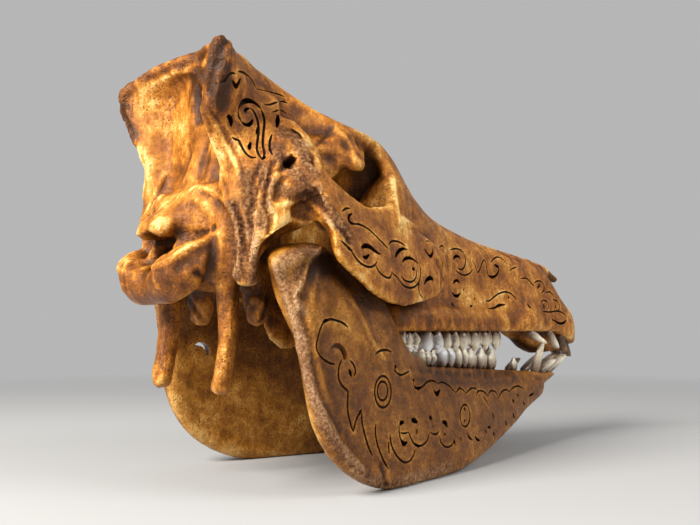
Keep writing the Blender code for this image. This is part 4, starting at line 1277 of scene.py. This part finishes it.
def smooth_tooth(tooth):
    """Round a tooth off, and paint how far along it and how deep in its valleys each point lies."""
    finish_with(tooth, "SUBSURF", levels=2)
    choose(tooth)
    bpy.ops.object.shade_smooth()
    places = points_of(tooth)
    paint(tooth, "along", (places[:, 2] - places[:, 2].min()) / np.ptp(places[:, 2]))
    paint(tooth, "valley", relief(places, normals_of(tooth), edges_of(tooth), VALLEY_ROUNDS) * MM)
    print(tooth.name, "points:", len(places))
    return tooth


def fill_box(tooth):
    """Stretch a tooth until it fills its box of one metre again."""
    places = points_of(tooth)
    middle = (places.min(0) + places.max(0)) / 2
    put_points(tooth, (places - middle) / np.ptp(places, axis=0))
    return tooth


# %% Shape the cheek teeth
def molar(name, lobes):
    """A tooth with pairs of cusps, side valleys between its lobes and a notch between its roots."""
    tooth = tooth_block(name, 2 * lobes - 1)
    half = 1 / (2 * lobes)

    def in_valley(x):
        step = round(x / half) + lobes
        return step % 2 == 0 and 0 < step < 2 * lobes

    def on_cusp(x, y, z):
        return z > 0.49 and 0.2 < abs(y) < 0.4 and abs(x) < 0.45 and not in_valley(x)

    push(tooth, on_cusp, (0, 0, 0.36))
    push(tooth, lambda x, y, z: z > 0.49 and abs(y) < 0.05, (0, 0, -0.10))
    push(tooth, lambda x, y, z: z > 0.35 and in_valley(x), (0, 0, -0.26))
    push(tooth, lambda x, y, z: z < -0.49 and in_valley(x), (0, 0, 0.42))
    pinch(tooth, lambda x, y, z: abs(y) > 0.49 and in_valley(x), (1, 0.58, 1))
    pinch(tooth, lambda x, y, z: abs(x) > 0.49 and abs(y) > 0.49, (0.86, 0.82, 1))
    pinch(tooth, lambda x, y, z: z < -0.3, (0.66, 0.78, 1))
    pinch(tooth, lambda x, y, z: -0.3 < z < -0.1, (0.90, 0.92, 1))
    pinch(tooth, lambda x, y, z: z > 0.3, (0.90, 0.76, 1))
    return fill_box(smooth_tooth(tooth))


def premolar(name):
    """A blade with one high cusp and lower ones before and behind it."""
    tooth = tooth_block(name, 3)
    push(tooth, lambda x, y, z: z > 0.49 and abs(x) < 0.05, (0, 0, 0.42))
    push(tooth, lambda x, y, z: z > 0.2 and abs(x) > 0.49, (0, 0, -0.16))
    push(tooth, lambda x, y, z: z < -0.49 and abs(x) < 0.05, (0, 0, 0.34))
    pinch(tooth, lambda x, y, z: abs(y) > 0.49 and 0.2 < x < 0.3, (1, 0.60, 1))
    pinch(tooth, lambda x, y, z: z > 0.45, (0.94, 0.36, 1))
    pinch(tooth, lambda x, y, z: abs(x) > 0.49 and abs(y) > 0.2, (0.92, 0.62, 1))
    pinch(tooth, lambda x, y, z: z < -0.3, (0.62, 0.78, 1))
    pinch(tooth, lambda x, y, z: -0.3 < z < -0.1, (0.92, 0.92, 1))
    return fill_box(smooth_tooth(tooth))


shapes = {"molar_3": molar("Last molar", 3), "molar": molar("Molar", 2), "premolar": premolar("Premolar")}

# %% Shape the pegs
PEGS = {
    "canine": [(-0.12, 0.44, 0.44, -0.01), (0.15, 0.50, 0.50, 0.0), (0.45, 0.42, 0.44, 0.02),
               (0.72, 0.29, 0.32, 0.07), (0.93, 0.20, 0.22, 0.12), (1.0, 0.10, 0.11, 0.14)],
    "incisor": [(-0.12, 0.40, 0.40, 0.0), (0.15, 0.46, 0.46, 0.0), (0.50, 0.44, 0.52, 0.0),
                (0.80, 0.34, 0.54, 0.0), (0.96, 0.18, 0.48, 0.0), (1.0, 0.10, 0.40, 0.0)],
}
for kind, stations in PEGS.items():
    shapes[kind] = smooth_tooth(drawn_out(kind.title(), 10, stations))

# %% [markdown]
# ## Enamel
# Boar enamel is ivory, brown at the gum and in the grooves where tannin settled, and chipped to a paler
# white on the cusps. The second molars look bluer in the picture, and the first two upper incisors of each
# side are nearly as dark as the bone round them.

# %% Enamel materials
def enamel_material(name, ivory, worn, stain):
    """Stained enamel."""
    material, tree, shader = new_material(name, 0.3, 0.3)
    place = place_on(tree)
    blotch = noise_at(tree, place, 330.0)
    fleck = noise_at(tree, place, 1100.0)
    wavy = ramp(tree, blotch, 0.3, 0.7, 0.14, -0.14)
    gum = ramp(tree, total(tree, painted(tree, "along"), wavy), 0.70, 0.20)
    ragged = ramp(tree, fleck, 0.3, 0.7, -0.010, 0.010)
    groove = ramp(tree, total(tree, painted(tree, "valley"), ragged), 0.008, -0.013)
    colour = colour_mix(tree, ramp(tree, blotch, 0.38, 0.62), ivory, worn)
    colour = colour_mix(tree, times(tree, gum, 0.9), colour, stain)
    colour = colour_mix(tree, times(tree, groove, 0.85), colour, [c * 0.4 for c in stain[:3]] + [1])
    colour = colour_mix(tree, ramp(tree, fleck, 0.60, 0.72, 0.0, 0.6), colour, stain)
    tree.links.new(colour, shader.inputs["Base Color"])
    tree.links.new(ramp(tree, fleck, 0.3, 0.7, 0.20, 0.42), shader.inputs["Roughness"])
    add_bump(tree, shader, total(tree, blotch, times(tree, fleck, 0.4)), 0.5, 0.0006)
    return material


ivory_enamel = enamel_material(
    "Ivory enamel", (0.66, 0.55, 0.38, 1), (0.96, 0.89, 0.74, 1), (0.12, 0.052, 0.020, 1))
brown_enamel = enamel_material(
    "Brown enamel", (0.10, 0.045, 0.018, 1), (0.30, 0.17, 0.08, 1), (0.05, 0.022, 0.010, 1))
white_enamel = enamel_material(
    "White enamel", (0.58, 0.57, 0.57, 1), (0.92, 0.93, 0.94, 1), (0.16, 0.09, 0.05, 1))
print("enamels:", ivory_enamel.name, brown_enamel.name, white_enamel.name)

# %% [markdown]
# ## The rows of teeth
# Each solid of the frame says where its tooth stands. A cheek tooth fills its solid's box, a little way
# into the gum and a little past the cusps, so that the rows close up as they do in the picture. No two
# teeth wore down alike, so a wave of their place makes each a little longer or shorter and tilts it.

# %% Stand a cheek tooth in its place
GUM_DEPTH = 0.8 * MM
CUSP_LENGTH = 0.9 * MM
CLOSE_UP = 1.02
WEAR_WAVE = 571
WEAR_LIFT = 0.3 * MM
WEAR_TILT = math.radians(4)
ROW_TURN = math.radians(5)


def copied(shape, node, placed):
    """A copy of a tooth's shape in its place, with a mesh of its own that keeps the move."""
    tooth = new_piece(node.title(), shapes[shape].data.copy())
    tooth.matrix_world = placed
    choose(tooth)
    bpy.ops.object.transform_apply(location=True, rotation=True, scale=True)
    return tooth


def cheek_tooth(node, shape):
    """A molar or premolar in the box of its solid, a little into the bone."""
    low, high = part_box(node)
    upper = node.startswith("upper")
    low.z -= CUSP_LENGTH if upper else GUM_DEPTH
    high.z += GUM_DEPTH if upper else CUSP_LENGTH
    middle = (low + high) / 2
    wear = math.sin(WEAR_WAVE * abs(middle.x) + (2 if upper else 0))
    size = (high - low) * CLOSE_UP
    size.x *= 0.97 + 0.03 * wear
    size.z *= 0.98 + 0.06 * wear
    middle.z += (-wear if upper else wear) * WEAR_LIFT
    yaw = ROW_TURN if upper == (middle.y > 0) else -ROW_TURN
    turn = Matrix.Rotation(yaw, 4, "Z") @ Matrix.Rotation(math.pi if upper else 0, 4, "X")
    turn = Matrix.Rotation(WEAR_TILT * wear, 4, "Y") @ turn
    return copied(shape, node, Matrix.Translation(middle) @ turn @ Matrix.Diagonal((*size, 1)))


# %% Stand a front tooth in its place
PEG_SIZES = {"upper_canine": (5.4, 4.6), "upper_incisor_3": (6.0, 4.8), "upper_incisor_2": (5.6, 6.0),
             "upper_incisor_1": (5.4, 7.0), "lower_canine": (6.2, 5.8), "lower_incisor_3": (5.0, 5.4),
             "lower_incisor_2": (5.6, 6.8), "lower_incisor_1": (5.8, 7.2)}


def front_tooth(node, shape):
    """A canine or incisor from the middle of its solid's root to its tip, of its length and width in mm."""
    places = points_of(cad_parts[node])
    upper = node.startswith("upper")
    tip = places[places[:, 2].argmin() if upper else places[:, 2].argmax()]
    gap = np.linalg.norm(places - tip, axis=1)
    root = places[gap > 0.8 * gap.max()].mean(0)
    way = Vector(tip - root)
    forward = Vector((0, 1, 0)).cross(way).normalized() * (-1 if upper else 1)
    across = way.normalized().cross(forward)
    long, wide = PEG_SIZES[node.replace("left_", "").replace("right_", "")]
    turn = Matrix((forward * long * MM, across * wide * MM, way)).transposed().to_4x4()
    return copied(shape, node, Matrix.Translation(Vector(root)) @ turn)


# %% Fill the four rows
BROWN_TEETH = ("upper_left_incisor_1", "upper_left_incisor_2",
               "upper_right_incisor_1", "upper_right_incisor_2")
for node in sorted(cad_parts):
    if node in ("cranium", "mandible"):
        continue
    kind = node.split("_", 2)[2]
    if "molar" in kind:
        shape = "molar_3" if kind == "molar_3" else "premolar" if kind.startswith("premolar") else "molar"
        tooth = cheek_tooth(node, shape)
    else:
        tooth = front_tooth(node, kind.split("_")[0])
    enamel = white_enamel if kind == "molar_2" else brown_enamel if node in BROWN_TEETH else ivory_enamel
    tooth.data.materials.clear()
    tooth.data.materials.append(enamel)
    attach(tooth, "root")
    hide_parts(node)
for shape in shapes.values():
    bpy.data.objects.remove(shape)
print("teeth:", len(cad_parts) - 2)

# %% [markdown]
# ## Floor and light
# The skull stands on a pale floor that fades into the grey of the room. One lamp high behind it on the
# left lights the back of the head, as a window does, and a weak one in front opens the shadows.

# %% The floor
BACKDROP = (0.47, 0.47, 0.47, 1)
FLOOR_GREY = (0.44, 0.44, 0.44, 1)
FADE_FROM = 0.28
FADE_TO = 0.95
bpy.ops.mesh.primitive_plane_add(size=8, location=(0, 0, -0.0001))
floor = bpy.context.object
floor.name = "Floor"
material, tree, shader = new_material("Pale floor", 0.8, 0.0)
away = add_node(tree, "ShaderNodeVectorMath", {0: place_on(tree)}, operation="LENGTH").outputs["Value"]
far = ramp(tree, away, FADE_FROM, FADE_TO)
tree.links.new(colour_mix(tree, far, FLOOR_GREY, (0, 0, 0, 1)), shader.inputs["Base Color"])
tree.links.new(far, shader.inputs["Emission Strength"])
shader.inputs["Emission Color"].default_value = BACKDROP
shader.inputs["Specular IOR Level"].default_value = 0.0
floor.data.materials.append(material)
print("floor:", round(floor.dimensions.x, 1), "m wide")


# %% The lamps
def soft_light(name, place, target, size, power, colour):
    """A round soft light at a place, turned to a target."""
    bpy.ops.object.light_add(type="AREA", location=place)
    lamp = bpy.context.object
    lamp.name = name
    lamp.data.shape = "DISK"
    lamp.data.size = size
    lamp.data.energy = power
    lamp.data.color = colour
    lamp.rotation_euler = (Vector(target) - Vector(place)).to_track_quat("-Z", "Y").to_euler()
    print(name, "lamp:", power, "W")


soft_light("Window", (-1.02, -0.10, 0.74), (0, 0, 0.12), 0.6, 31.0, (1.0, 0.97, 0.92))
soft_light("Room", (0.35, -1.0, 0.75), (0, 0, 0.1), 0.7, 8.5, (1.0, 0.99, 0.97))

# %% The room round it
ROOM_LIGHT = (0.30, 0.30, 0.30, 1)
world = bpy.data.worlds.new("Studio")
bpy.context.scene.world = world
world.use_nodes = True
tree = world.node_tree
shown = add_node(tree, "ShaderNodeLightPath").outputs["Is Camera Ray"]
tree.links.new(colour_mix(tree, shown, ROOM_LIGHT, BACKDROP), tree.nodes["Background"].inputs[0])
bpy.context.scene.view_settings.view_transform = "Standard"
print("room light:", ROOM_LIGHT[0])
